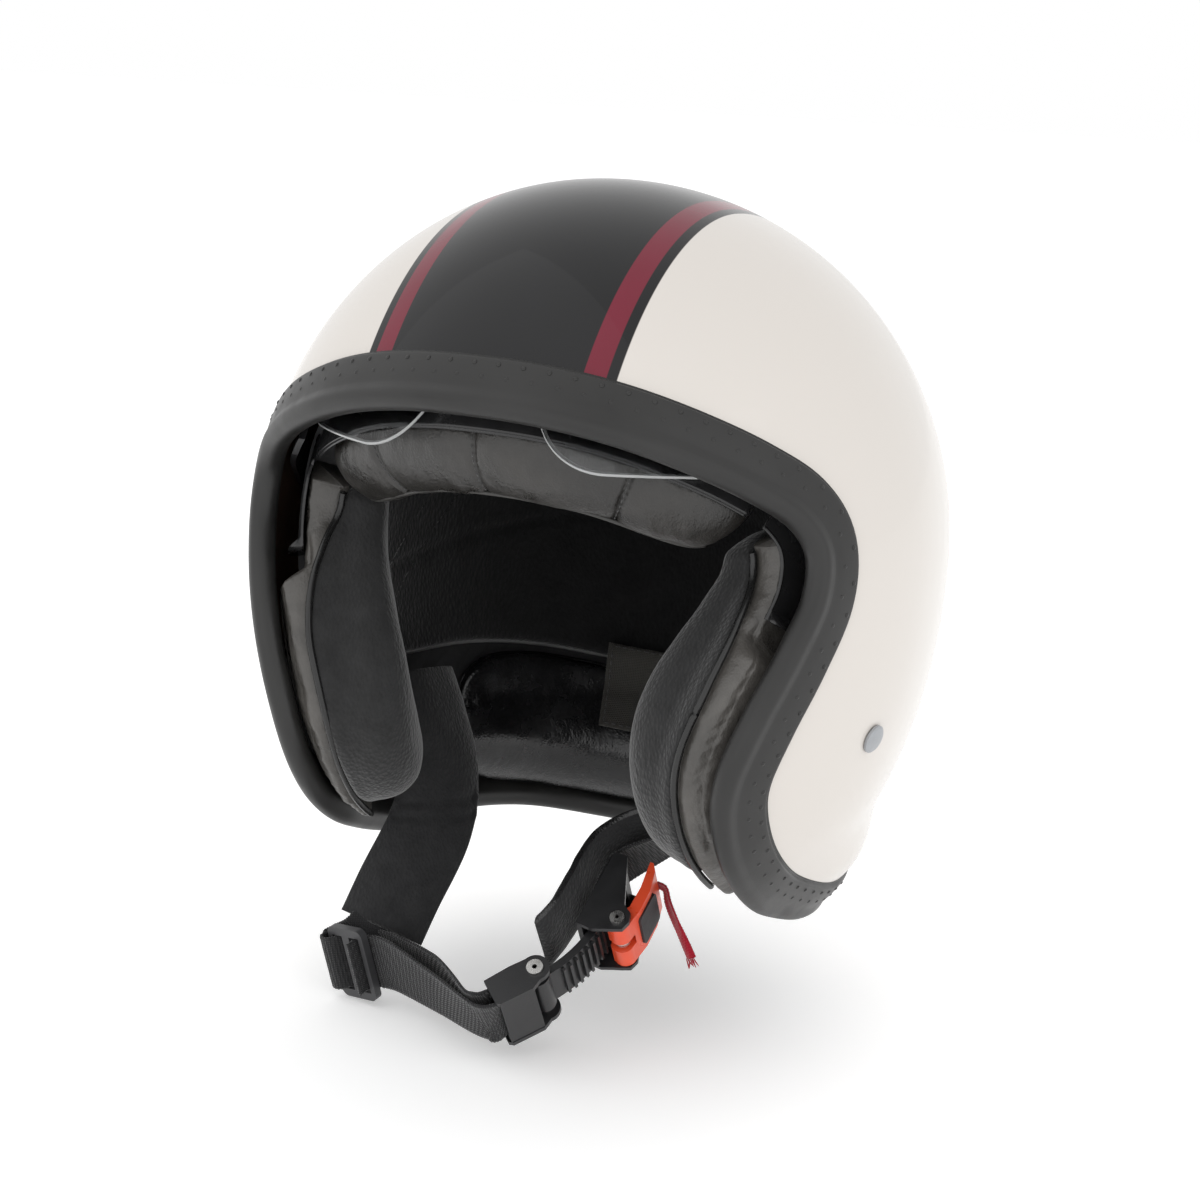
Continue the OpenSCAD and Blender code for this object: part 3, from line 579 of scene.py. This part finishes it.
def trim_dots():
    """Two staggered rows of small raised dots on the flange."""
    fine = np.arange(0, STATIONS, 0.02)
    walk = edge_at(fine)
    run = np.concatenate([[0], np.cumsum(np.linalg.norm(np.diff(walk, axis=0), axis=1))])
    count = int(run[-1] / DOT_PITCH)
    verts, faces = [], []
    n = DOT_SIDES
    round_dot = np.linspace(0, 2 * math.pi, n, endpoint=False)
    for row, d in enumerate(DOT_ROWS):
        where = np.interp((np.arange(count) + 0.5 * row) * run[-1] / count, run, fine)
        seat = rim(where, d, FLANGE_TOP - FLANGE_SLOPE * (DOT_ROWS[0] - d))
        ahead = unit(rim(where + 0.02, d, -1.7) - seat)
        up = unit(rim(where, d, -5.0) - seat)
        side = np.cross(up, ahead)
        for c, a, s, u in zip(seat, ahead, side, up):
            o = len(verts)
            for radius, height in DOT_LEVELS:
                verts += [c + radius * (a * math.cos(x) + s * math.sin(x)) + u * (height - DOT_SINK)
                          for x in round_dot]
            verts.append(c + u * DOT_TOP)
            for low in (o, o + n):
                faces += [(low + j, low + (j + 1) % n, low + n + (j + 1) % n, low + n + j) for j in range(n)]
            faces += [(o + 2 * n + j, o + 2 * n + (j + 1) % n, o + 3 * n) for j in range(n)]
            faces.append(tuple(o + j for j in reversed(range(n))))
    return mesh_object("trim_dots", verts, faces, [RUBBER], slot="trim_rubber")


trim_dots()


# ---------------------------------------------------------------- liner and pads
def groove(distance, width, depth):
    return depth * np.exp(-(distance / width) ** 2)


def liner_shape(p):
    """Sewn panels: a centre panel, a band seam round the back and soft quilting between them."""
    u = unit(p)
    x, y, z = p[..., 0], p[..., 1], p[..., 2]
    side = groove(np.abs(x) - 34 - 0.08 * z, 1.6, 1.5) * ramp((y + 60) / 20)
    band = groove(z + 22 - 0.12 * y, 1.5, 1.4) * ramp((y + 10) / 20)
    upper = groove(z - 58 + 0.2 * y, 1.5, 1.2) * ramp((70 - np.abs(x)) / 10)
    puff = 0.9 * wobble(p, 60, 3)
    return p + u * (side + band + upper + puff * 0.5 - 0.6)[..., None]


# the cloth's edge in from the shell's edge, at each station from the brow to the nape
LINER_MARGIN = [26, 26, 26, 27, 30, 36, 46, 62, 72, 76, 76, 72, 64, 58, 56, 56, 56, 56, 56, 56]
LINER_BACK, LINER_FACE = 30.2, 36.6
around = np.minimum(EDGE_TRIP, STATIONS - EDGE_TRIP)
liner = dome("liner_cloth", EDGE_TRIP[::2], DOME_ROWS, LINER_BACK, LINER_FACE,
             np.interp(around, range(len(LINER_MARGIN)), LINER_MARGIN)[::2], [LINER, LINER], liner_shape,
             slot="liner_fabric")
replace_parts(liner, "crown_liner")


def patch(name, points, lift, materials, **kw):
    """A thin sewn patch: grid of points (rows, cols, 3) raised towards the head space."""
    top = points - unit(points) * lift
    rows, cols = points.shape[:2]
    verts = np.concatenate([top.reshape(-1, 3), points.reshape(-1, 3)])
    o = rows * cols
    faces = [(i * cols + j, i * cols + j + 1, (i + 1) * cols + j + 1, (i + 1) * cols + j)
             for i in range(rows - 1) for j in range(cols - 1)]
    faces += [tuple(o + v for v in reversed(f)) for f in faces]
    border = [*range(cols)]
    border += [i * cols + cols - 1 for i in range(1, rows)]
    border += [(rows - 1) * cols + j for j in range(cols - 2, -1, -1)]
    border += [i * cols for i in range(rows - 2, 0, -1)]
    faces += [(a, b, o + b, o + a) for a, b in zip(border, border[1:] + border[:1])]
    return outward(mesh_object(name, verts, faces, materials, **kw))


def patch_grid(s_low, s_high, d_low, d_high, k, rows=24, cols=30):
    s, d = np.meshgrid(np.linspace(s_low, s_high, cols), np.linspace(d_low, d_high, rows))
    return rim(s, d, (k(d) if callable(k) else k) + 0 * s)


def label_depth(d):
    """Depth of the patch's back, which lies over the neck roll's top and the liner."""
    return np.interp(d, [12, 28, 44, 62], [39.3, 40.6, 40.0, 39.7])


LABEL_AREA = (18.92, 20.13, 13, 61)   # its stations, then its distances from the edge
LABEL_THICK, STITCH_INSET, STITCH_RISE = 0.7, 1.8, 0.85
LABEL_SPACING = 26                    # millimetres from one station to the next under the label
label = patch("blank_patch", patch_grid(*LABEL_AREA, label_depth, 40, 24), LABEL_THICK, [LABEL],
              slot="label_fabric")
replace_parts(label, "blank_label")


def stitches(name, points, thread, body="helmet", pitch=3.0, gap=0.9, radius=0.28, slot=None):
    """Short thread lengths along a path."""
    p, _, u = even(np.asarray(points, float), np.asarray(points, float), 0.5)
    verts, faces = [], []
    cols = 6
    start = 0.0
    while start + pitch - gap < u[-1]:
        q = np.linspace(start, start + pitch - gap, 5)
        c = np.stack([np.interp(q, u, p[:, k]) for k in range(3)], 1)
        t = unit(np.gradient(c, axis=0))
        side = unit(np.cross(t, np.array([0.3, 0.5, 0.8])))
        up = np.cross(t, side)
        fat = radius * np.array([0.3, 0.9, 1.0, 0.9, 0.3])
        a = np.linspace(0, 2 * math.pi, cols, endpoint=False)
        o = len(verts)
        for i in range(5):
            verts += [c[i] + fat[i] * (math.cos(x) * side[i] + math.sin(x) * up[i]) for x in a]
        faces += [(o + i * cols + j, o + i * cols + (j + 1) % cols, o + (i + 1) * cols + (j + 1) % cols,
                   o + (i + 1) * cols + j) for i in range(4) for j in range(cols)]
        faces += [tuple(o + j for j in reversed(range(cols))), tuple(o + 4 * cols + j for j in range(cols))]
        start += pitch
    return mesh_object(name, verts, faces, [thread], body=body, slot=slot)


def patch_border(inset):
    """Closed path that far in from the patch's outline, on its face."""
    s_low, s_high, d_low, d_high = LABEL_AREA
    s_in = inset / LABEL_SPACING
    s_low, s_high, d_low, d_high = s_low + s_in, s_high - s_in, d_low + inset, d_high - inset
    s = np.concatenate([np.linspace(s_low, s_high, 30), np.full(40, s_high), np.linspace(s_high, s_low, 30),
                        np.full(40, s_low)])
    d = np.concatenate([np.full(30, d_low), np.linspace(d_low, d_high, 40), np.full(30, d_high),
                        np.linspace(d_high, d_low, 40)])
    return rim(s, d, label_depth(d) + STITCH_RISE)


stitches("patch_stitching", patch_border(STITCH_INSET), THREAD, slot="label_fabric")

# a small mesh window and a hanging tab in the liner behind the brow
WINDOW_FACE, TAB_FACE = 36.9, 37.4
patch("liner_mesh_window", patch_grid(-1.6, 0.3, 44, 62, WINDOW_FACE), 0.7, [LINER_MESH], slot="liner_fabric")
patch("liner_tab", patch_grid(0.55, 0.8, 40, 66, TAB_FACE, 16, 6), 1.4, [SLEEVE_KNIT], slot="liner_fabric")

NECK = [[7.6, 8.5], [-1, 9.2], [-3.6, 17], [-1.8, 27], [6, 36], [28, 39], [44, 37], [50, 31.4], [48, 31],
        [9.5, 31], [7.4, 30], [7.4, 10]]
NECK_START, NECK_HEART, NECK_SEAM = 15.5, np.array([8, 30.8]), 22


def neck_section(s):
    return rounded_end(NECK, (s - NECK_START) / (STATIONS - 2 * NECK_START), NECK_HEART)


def neck_change(s, dk, p):
    """Soft waves, and one seam along the roll's face."""
    seam = groove(dk[..., 0] - NECK_SEAM, 1.2, 1.2) * (dk[..., 1] > 33)
    return dk + np.stack([0 * s, 0.5 * wobble(p, 26, 5) - seam], -1)


neck = edge_sweep("neck_roll_pad", spaced(NECK_START, STATIONS - NECK_START, 180), neck_section,
                  [BLACK_LEATHER], per=5, change=neck_change, slot="liner_fabric")
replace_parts(neck, "neck_roll")

BROW_END = 4.9
BROW = [[7.2, 19.8], [-4, 19.5], [-13, 22.5], [-20.5, 28.5], [-25.5, 36], [-24.5, 42], [-12, 45], [10, 43.4],
        [21, 38], [22, 30.6], [18, 30.2], [7.8, 30], [7.4, 28], [7.2, 21.5]]
BROW_SEAMS = (-2.5, -0.3, 2.4)
BROW_SPACING = 24   # millimetres from one station to the next at the brow
BROW_HEART = np.array([6.0, 33.0])


def brow_change(s, dk, p):
    """Sewn cross seams, with the padding crowned between them and creases that gather at each seam."""
    inward = unit(BROW_HEART - dk)
    front = ramp((10 - dk[..., 0]) / 14)
    near = np.min([np.abs(s - m) for m in BROW_SEAMS], axis=0) * BROW_SPACING
    pull = groove(near, 1.3, 1.9) + groove(near, 7, 1.0)
    crease = 0.55 * wobble(p * [1.0, 0.4, 0.35], 16, 7) + 0.25 * wobble(p, 7, 9) * np.exp(-near / 14)
    return dk + inward * ((pull - crease) * front)[..., None]


def brow_section(s):
    return rounded_end(BROW, (s + BROW_END) / (2 * BROW_END), np.array([5, 31]))


brow = edge_sweep("brow_roll", spaced(-BROW_END, BROW_END, 300), brow_section, [LEATHER], per=7,
                  change=brow_change, slot="leatherette")
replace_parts(brow, "brow_pad")
# thread along each seam, over the front of the roll
line = smooth_loop(np.array([BROW]), 8)[0][8:40]
line = line + (BROW_HEART - line) * 0.055
for number, seam in enumerate(BROW_SEAMS):
    stitches(f"brow_seam_{number}", rim(seam + 0 * line[:, 0], line[:, 0], line[:, 1]), THREAD, pitch=2.6,
             radius=0.22, slot="leatherette")
# the welt follows the roll, which narrows towards its rounded ends
STRIP_END, WELT_RADIUS = 4.4, 0.75
welt = np.linspace(-STRIP_END, STRIP_END, 160)
squeeze = np.sqrt(1 - np.abs(welt / BROW_END) ** 8)
tube("brow_welt", rim(welt, 5 - 30.2 * squeeze, 31 + 7.2 * squeeze), WELT_RADIUS, WELT, slot="leatherette")

STRIP = [[7.8, 15.9], [-4.6, 15.8], [-5.4, 16.1], [-5.6, 16.6], [-5.2, 17.1], [7.8, 17.2]]
strip = edge_sweep("brow_strip_moulding", np.linspace(-STRIP_END, STRIP_END, 120), lambda s: STRIP,
                   [STRIP_PLASTIC], per=3, slot="strip_plastic")
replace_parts(strip, "brow_strip")

CHEEK_TOP, CHEEK_LOW = 5.7, 12.9
JAW_START, JAW_RUN, FULL_RUN = 6.4, 3.2, 5.6
# the pad's front and rear, first at its top and then at the jaw
PAD_FRONT = ([[-10, 33], [-12, 39], [-10, 44], [0, 46]], [[-23, 19], [-31, 30], [-30, 41], [-15, 49]])
PAD_REAR = ([[14, 45], [24, 41], [27, 33], [24, 30.4]], [[16, 49], [36, 42], [42, 33], [40, 30.4]])


def jaw(s):
    """Share of the way from the top's sections to the jaw's."""
    return ramp((s - JAW_START) / JAW_RUN)


def fullness(s):
    """The same share for the pad's front, which fills out lower down than the panel does."""
    return ramp((s - JAW_START) / FULL_RUN)


def cheek_corner(s):
    return mix(np.array([-6, 28.8]), np.array([-14, 13.5]), jaw(s))


def cheek_section(s):
    front = mix(*np.array(PAD_FRONT, float), fullness(s))
    rear = mix(*np.array(PAD_REAR, float), jaw(s))
    return np.concatenate([[cheek_corner(s) + [-0.4, 0.8]], front, rear, [[7.8, 30.2]]])


def cheek_rounded(s):
    p = cheek_section(s)
    return rounded_end(p, (s - CHEEK_TOP) / (CHEEK_LOW - CHEEK_TOP), p.mean(0) - [7, 0], 13)


def panel_section(s):
    open_share, f = 1 - ramp((s - 8) / 0.4), cheek_corner(s)
    front = mix(-6.6, -4, open_share)
    deep = mix(8.4, 17.2, open_share)
    bend = np.array([mix(f[0] * 0.6 - 2.4, -5.4, open_share), mix(9.2, 18.6, open_share)])
    return np.array([[7.6, 28], [7.6, deep + 1], [7.2, deep], [front + 2, deep], [front - 0.6, deep + 0.4],
                     bend, mix(bend, f, 0.5) + [-0.5, -0.8], f, f, f + [3, 2]])


def panel_change(s, dk, p):
    visible = (dk[..., 0] < 3)
    fold = 0.55 * wobble(p * [0.5, 1.0, 0.4], 15, 21) + 0.25 * wobble(p, 6, 22)
    return dk + np.stack([0.3 * fold * visible, fold * visible], -1)


def pad_change(s, dk, p):
    return dk + np.stack([0 * s, 0.45 * wobble(p, 45, 31)], -1)


def lip_section(s):
    """Plastic lip at the end of the visor's pocket; it is thicker at its lower end."""
    foot = 15.5 - 4.0 * ramp((s - CHEEK_TOP - 1.75) / 0.25)
    return [[7.6, foot], [-4.8, foot], [-5.5, 15.3], [-5.7, 15.8], [-5.2, 16.5], [7.6, 16.6]]


def cheek_sweep(name, side, rows, section, materials, **kw):
    """Sweep along the wearer's left side, or its mirror image on the right where side is -1."""
    if side > 0:
        return edge_sweep(name, rows, section, materials, **kw)
    return edge_sweep(name, STATIONS - rows[::-1], lambda s: section(STATIONS - s), materials, **kw)


PIPING_RADIUS = 1.25
for side, word in ((1, "left"), (-1, "right")):
    pad = cheek_sweep(f"cheek_pad_knit_{word}", side, spaced(CHEEK_TOP, CHEEK_LOW, 130), cheek_rounded,
                      [PAD_KNIT], per=7, change=pad_change, slot="pad_fabric")
    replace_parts(pad, f"cheek_pad_{word}")
    panel = cheek_sweep(f"cheek_panel_leather_{word}", side, np.linspace(CHEEK_TOP, CHEEK_LOW, 170),
                        panel_section, [PANEL_LEATHER], per=6, change=panel_change, slot="leatherette")
    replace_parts(panel, f"cheek_panel_{word}")
    rows = np.linspace(CHEEK_TOP + 0.2, CHEEK_LOW - 0.1, 150)
    corner = np.array([cheek_corner(s) for s in rows]) + [-1.9, 0.2]
    along = rows if side > 0 else STATIONS - rows
    cord = tube(f"cheek_piping_cord_{word}", rim(along, corner[:, 0], corner[:, 1]), PIPING_RADIUS, PIPING,
                slot="piping")
    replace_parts(cord, f"cheek_piping_{word}")
    lip = cheek_sweep(f"slot_lip_{word}", side, np.linspace(CHEEK_TOP - 0.8, CHEEK_TOP + 2, 70), lip_section,
                      [STRIP_PLASTIC], per=3, slot="strip_plastic")
    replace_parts(lip, f"pocket_edge_{word}")

# ---------------------------------------------------------------- strap
RATCHET_RADIUS, PIN_ANGLE = 48, 18.9
WEBBING_WIDTH, WEBBING_THICK, SLEEVE_THICK, SLEEVE_MARGIN = 22, 1.4, 5, 1.6
strap_across = unit(np.array([0.09, -0.60, 0.79]))
hint = np.array([0.39, 0.75, 0.53])
chord = unit(hint - (hint @ strap_across) * strap_across)
neckward = np.cross(strap_across, chord)
pin_sin, pin_cos = math.sin(math.radians(PIN_ANGLE)), math.cos(math.radians(PIN_ANGLE))
arc_centre = np.array([9, -48, -154]) + chord * RATCHET_RADIUS * pin_sin + neckward * RATCHET_RADIUS * pin_cos


def arc_world(angle, out, along, across):
    c, s = math.cos(math.radians(angle)), math.sin(math.radians(angle))
    x, y = -neckward * c + chord * s, chord * c + neckward * s
    return arc_centre + x * (RATCHET_RADIUS + out) + y * along + strap_across * across


slider_across = unit(np.array([-0.18, -0.19, 0.96]))
slider_centre = np.array([-73, -40, -165])
slider_hint = np.array([0.95, -0.22, 0.06])
slider_run = unit(slider_hint - (slider_hint @ slider_across) * slider_across)
slider_out = np.cross(slider_across, slider_run)


def slider_world(along, out, across):
    return slider_centre + slider_run * along + slider_out * out + slider_across * across


def strap(name, path, across, section, step, materials, shape=None, slots=None, body="chin_strap", slot=None):
    """Strap of closed section (n, 2), x across and y through, along a path.

    shape(run, sections, path) may change the sections, where run is the distance along the path.
    """
    p, w, u = even(open_curve(path, 24), open_curve(across, 24), step)
    s, f = strip_frame(p, w)
    sec = np.broadcast_to(section, (len(p), *np.shape(section))).copy()
    if shape is not None:
        sec = shape(u, sec, p)
    pts = p[:, None] + s[:, None] * sec[..., :1] + f[:, None] * sec[..., 1:]
    return rings(name, pts, materials, slots=slots, body=body, slot=slot)


def pillow(width, thick, edge, cols=44, curl=0.0):
    """Section of a sewn sleeve: thick in the middle, thin at its sewn edges, which curl by curl mm."""
    a = np.linspace(0, 2 * math.pi, cols, endpoint=False)
    x = np.sign(np.cos(a)) * np.abs(np.cos(a)) ** 0.55 * width / 2
    body = mix(edge, thick, (1 - (np.abs(x) / (width / 2)) ** 4)) / 2
    y = np.sign(np.sin(a)) * np.abs(np.sin(a)) ** 0.5 * body
    return np.stack([x, y + curl * (x / (width / 2)) ** 2], 1)


left_path = [[70, 5, -62], [62, 10, -76], [46, 13, -92], [28, 9, -106], arc_world(PIN_ANGLE, -12, 26, 5),
             arc_world(PIN_ANGLE, -12, 6, 6), arc_world(5, -12, 0, 6), arc_world(-8, -11, 0, 6)]
left_across = [[0, -1, 0], [-0.1, -0.97, 0.1], [-0.25, -0.9, 0.3], [-0.2, -0.8, 0.55], strap_across,
               strap_across, strap_across, strap_across]
right_path = [[-70, 5, -60], [-63, 2, -76], [-58, -3, -96], [-58, -13, -117], [-63, -25.5, -138],
              [-66, -33, -152]]
right_across = [[0, 1, 0], [0.2, 0.95, -0.2], [0.5, 0.75, -0.4], [0.8, 0.5, -0.35], [0.89, 0.34, -0.32],
                [0.89, 0.32, -0.32]]


def sleeve_shape(seed, fold_at):
    """A shape for strap(): a rounded end, soft waves, and folds at the given runs and depths."""
    def change(u, sec, p):
        total = u[-1]
        end = np.minimum(1, np.sqrt(np.clip((total - u) / 2.5, 0.05, 1)))
        x = sec[..., 0]
        waves = 0.28 * wobble(np.stack([u[:, None] + 0 * x, x, 0 * x], -1), 22, seed)
        sec[..., 1] = sec[..., 1] * end[:, None] + waves
        for where, depth in fold_at:
            sec[..., 1] -= groove(u[:, None] - where + 0.35 * sec[..., 0], 1.5, depth) * np.sign(sec[..., 1])
        return sec
    return change


left_section = pillow(32, SLEEVE_THICK, SLEEVE_MARGIN, curl=1.6)
facing_in = np.where(left_section[:, 1] > 0, 1, 0)
left_sleeve = strap("sleeve_left", left_path, left_across, left_section, 1.2, [SLEEVE_KNIT, BLACK_LEATHER],
                    sleeve_shape(41, []), slots=facing_in, slot="sleeve_fabric", body=None)
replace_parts(left_sleeve, "strap_sleeve_left")
right_section = pillow(33, SLEEVE_THICK, SLEEVE_MARGIN, curl=-1.2)
right_sleeve = strap("sleeve_right", right_path, right_across, right_section, 1.2, [SLEEVE_KNIT, SLEEVE_KNIT],
                     sleeve_shape(43, [(52, 0.9), (58, 0.7)]), slots=0 * facing_in, slot="sleeve_fabric",
                     body=None)
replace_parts(right_sleeve, "strap_sleeve_right")


def webbing(name, path, across, width, thick, body, ribs=1.35):
    """Woven strap with real ribs across it and a bound edge on each side."""
    half = width / 2
    x = half * np.array([-1, -0.93, -0.86, -0.6, -0.3, 0, 0.3, 0.6, 0.86, 0.93, 1])
    y = thick / 2 * np.array([0.55, 0.95, 0.72, 0.8, 0.8, 0.8, 0.8, 0.8, 0.72, 0.95, 0.55])
    section = np.concatenate([np.stack([x, y], 1), np.stack([x[::-1], -y[::-1]], 1)])

    def shape(u, sec, p):
        rib = 0.17 * np.sin(2 * math.pi * u / ribs)[:, None] * (np.abs(sec[..., 0]) < 0.9 * half)
        sec[..., 1] += np.sign(sec[..., 1]) * rib
        edge = 0.18 * np.sin(2 * math.pi * u / ribs)[:, None] * (np.abs(sec[..., 0]) > 0.97 * half)
        sec[..., 0] += np.sign(sec[..., 0]) * edge
        return sec

    return strap(name, path, across, section, ribs / 4, [WEBBING], shape, slot="webbing", body=body)


buckle_end = webbing("buckle_webbing_band",
                     [arc_world(PIN_ANGLE, -6.2, 8, 0), arc_world(PIN_ANGLE, -6.2, 26, 0), [35, 4, -108],
                      [58.5, 3, -88.5], [75.5, -1, -68]],
                     [strap_across, strap_across, [0, -0.85, 0.5], [0, -1, 0.2], [0, -1, 0]],
                     WEBBING_WIDTH, WEBBING_THICK, None)
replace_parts(buckle_end, "buckle_webbing")
last = np.array(right_path[-1])
slider_end = webbing("slider_webbing_band",
                     [last + [0.4, 1.3, 2.6], slider_world(2.5, 7, 7), slider_world(-6, 5, 2.5),
                      slider_world(-12, 2.2, 0), slider_world(-11.6, -3, 0), slider_world(-7.5, -3.6, 0),
                      slider_world(-4.4, 0, 0), slider_world(-3.4, 4, 0)],
                     [[-0.89, -0.34, 0.32], unit(np.array([-0.7, -0.3, 0.6])),
                      unit(np.array([-0.35, -0.25, 0.85])), *[slider_across] * 5], WEBBING_WIDTH, 1.2, None)
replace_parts(slider_end, "webbing_end")
BAR_ALONG = -14   # from the bracket's pin back to its bar
bar = arc_world(-PIN_ANGLE, 0, BAR_ALONG, 0)
out = arc_world(-PIN_ANGLE, 1, BAR_ALONG, 0) - bar
back = arc_world(-PIN_ANGLE, 0, BAR_ALONG - 1, 0) - bar
half_turn = mix(slider_across, strap_across, 0.5)
lift = strap_across * 3.5
chin_path = [slider_world(8.6, 3.2, 0), slider_world(18, 2.6, 0), [-32, -52, -163],
             bar + back * 10 + out * 3 + lift, bar + out * 3, bar - back * 3, bar - out * 3,
             bar + back * 10 - out * 3 + lift, [-33, -45.5, -160], slider_world(18, 7, 0),
             slider_world(9, 8, 0)]
chin_across = [*[slider_across] * 2, half_turn, *[strap_across] * 5, half_turn, *[slider_across] * 2]
chin_webbing = webbing("chin_webbing_band", chin_path, chin_across, WEBBING_WIDTH, WEBBING_THICK, None)
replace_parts(chin_webbing, "strap_webbing")

# the same webbing's turn through the slider, which moves with it
turn_path = [slider_world(4.3, -5, 0), slider_world(4.3, 0, 0), slider_world(6.4, 2.8, 0),
             slider_world(9.6, 3.2, 0)]
webbing("slider_turn_band", turn_path, [slider_across] * 4, 21.8, 1.3, "slider")


RIBBON_SLOT, RIBBON_HALF = 25.5, 2.5   # the slot's distance along the lever, and half the ribbon's width
RIBBON_FALL, FOLD_TURN = 33, 5.2       # the ribbon's length, and the fold's turn in radians over it


def pull_ribbon():
    """Red woven pull ribbon that folds and turns a little as it hangs."""
    tip = arc_world(PIN_ANGLE, 13.5, RIBBON_SLOT, 0)
    path = [arc_world(PIN_ANGLE, 8.4, RIBBON_SLOT, 0), tip, tip + [2.5, -1, -5], tip + [6, -1.5, -12.5],
            tip + [9, -1.5, -19], tip + [12, -1.5, -24.5]]
    across = [strap_across + [0.25 * i, 0, -0.08 * i] for i in range(6)]
    p, w, u = even(open_curve(path, 16), open_curve(across, 16), 0.5)
    s, f = strip_frame(p, w)
    x = np.linspace(-RIBBON_HALF, RIBBON_HALF, 9)
    y = 0.45 + 0 * x
    y[0] = y[-1] = 0.2
    section = np.concatenate([np.stack([x, y], 1), np.stack([x[::-1], -y[::-1]], 1)])
    fold = 0.9 * np.sin(u / RIBBON_FALL * FOLD_TURN)[:, None]
    height = section[None, :, 1] + fold * (section[None, :, 0] / RIBBON_HALF) ** 2
    height = height + 0.12 * np.sin(u * 7)[:, None]
    pts = p[:, None] + s[:, None] * section[None, :, :1] + f[:, None] * height[..., None]
    obj = rings("pull_ribbon_band", pts, [RIBBON], body="lever", slot="ribbon_red")
    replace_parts(obj, "pull_ribbon")
    length = float(np.linalg.norm(np.diff(p, axis=0), axis=1).sum())
    return obj, p, s, f, length


ribbon, ribbon_path, ribbon_side, ribbon_face, ribbon_length = pull_ribbon()
ribbon_way = unit(ribbon_path[-1] - ribbon_path[-4])

# loose threads at the ribbon's cut end
THREADS, THREAD_GAP, THREAD_LENGTH = 7, 0.7, 4.6
for number in range(THREADS):
    shift, bow = THREAD_GAP * (number - (THREADS - 1) / 2), rng.uniform(-1.6, 1.6, 2)
    run = np.linspace(0, 1, 9)[:, None]
    root = ribbon_path[-1] - ribbon_way * 0.6 + ribbon_side[-1] * shift
    bend = (ribbon_side[-1] * bow[0] + ribbon_face[-1] * bow[1]) * run ** 2
    stitches(f"ribbon_thread_{number}", root + ribbon_way * run * THREAD_LENGTH + bend, RIBBON, body="lever",
             pitch=4.4, gap=0.1, radius=0.26, slot="ribbon_red")


# ---------------------------------------------------------------- stage, light, camera
def light(name, place, target, size, energy):
    data = bpy.data.lights.new(name, "AREA")
    data.shape, data.size, data.size_y = "RECTANGLE", size[0], size[1]
    data.energy = energy
    obj = bpy.data.objects.new(name, data)
    obj.location = place
    obj.rotation_euler = (Vector(target) - Vector(place)).to_track_quat("-Z", "Y").to_euler()
    bpy.context.collection.objects.link(obj)


FLOOR_HALF, FLOOR_GAP = 30, 0.0015   # metres
floor_mesh = bpy.data.meshes.new("floor")
floor_mesh.from_pydata([(x * FLOOR_HALF, y * FLOOR_HALF, cad_low.z - FLOOR_GAP)
                        for x, y in ((-1, -1), (1, -1), (1, 1), (-1, 1))], [], [(0, 1, 2, 3)])
floor = bpy.data.objects.new("floor", floor_mesh)
bpy.context.collection.objects.link(floor)
floor_mesh.materials.append(material("floor_white", (0.96, 0.96, 0.96), 0.95, Specular_IOR_Level=0.05,
                                     Emission_Color=(1, 1, 1, 1), Emission_Strength=0.22))

world = bpy.data.worlds.new("studio")
bpy.context.scene.world = world
world.use_nodes = True
sky = world.node_tree.nodes["Background"]
sky.inputs["Color"].default_value = (1, 1, 1, 1)
sky.inputs["Strength"].default_value = 1.0
light("key", (-1.2, -1.6, 2.2), (0, 0, 0), (4.2, 4.2), 14)
light("side", (2.0, -0.9, 0.7), (0, 0, 0), (1.6, 2.2), 5)
light("front", (0.2, -1.8, 0.1), (0, 0, -0.05), (2.4, 1.2), 3)
bpy.context.scene.view_settings.view_transform = "Standard"

AZIMUTH, ELEVATION, ROLL = math.radians(24.5), math.radians(13.1), math.radians(3.2)
DISTANCE, LENS, AIM_RIGHT, AIM_DOWN = 0.8, 66.4, 0.0003, 0.0212   # metres, apart from the lens
level = Vector((math.cos(AZIMUTH), math.sin(AZIMUTH), 0))
ahead = Vector((math.sin(AZIMUTH), -math.cos(AZIMUTH), 0))
away = ahead * math.cos(ELEVATION) + Vector((0, 0, math.sin(ELEVATION)))
rise = away.cross(level)
right = level * math.cos(ROLL) + rise * math.sin(ROLL)
up = rise * math.cos(ROLL) - level * math.sin(ROLL)
camera_data = bpy.data.cameras.new("camera")
camera_data.lens, camera_data.sensor_width = LENS, 36
camera = bpy.data.objects.new("camera", camera_data)
bpy.context.collection.objects.link(camera)
aim = right * AIM_RIGHT - up * AIM_DOWN
turned = Matrix((right, up, away)).transposed().to_4x4()
camera.matrix_world = Matrix.Translation(aim + away * DISTANCE) @ turned
bpy.context.scene.camera = camera

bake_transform(left_sleeve)
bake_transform(right_sleeve)
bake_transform(buckle_end)
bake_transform(slider_end)
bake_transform(chin_webbing)
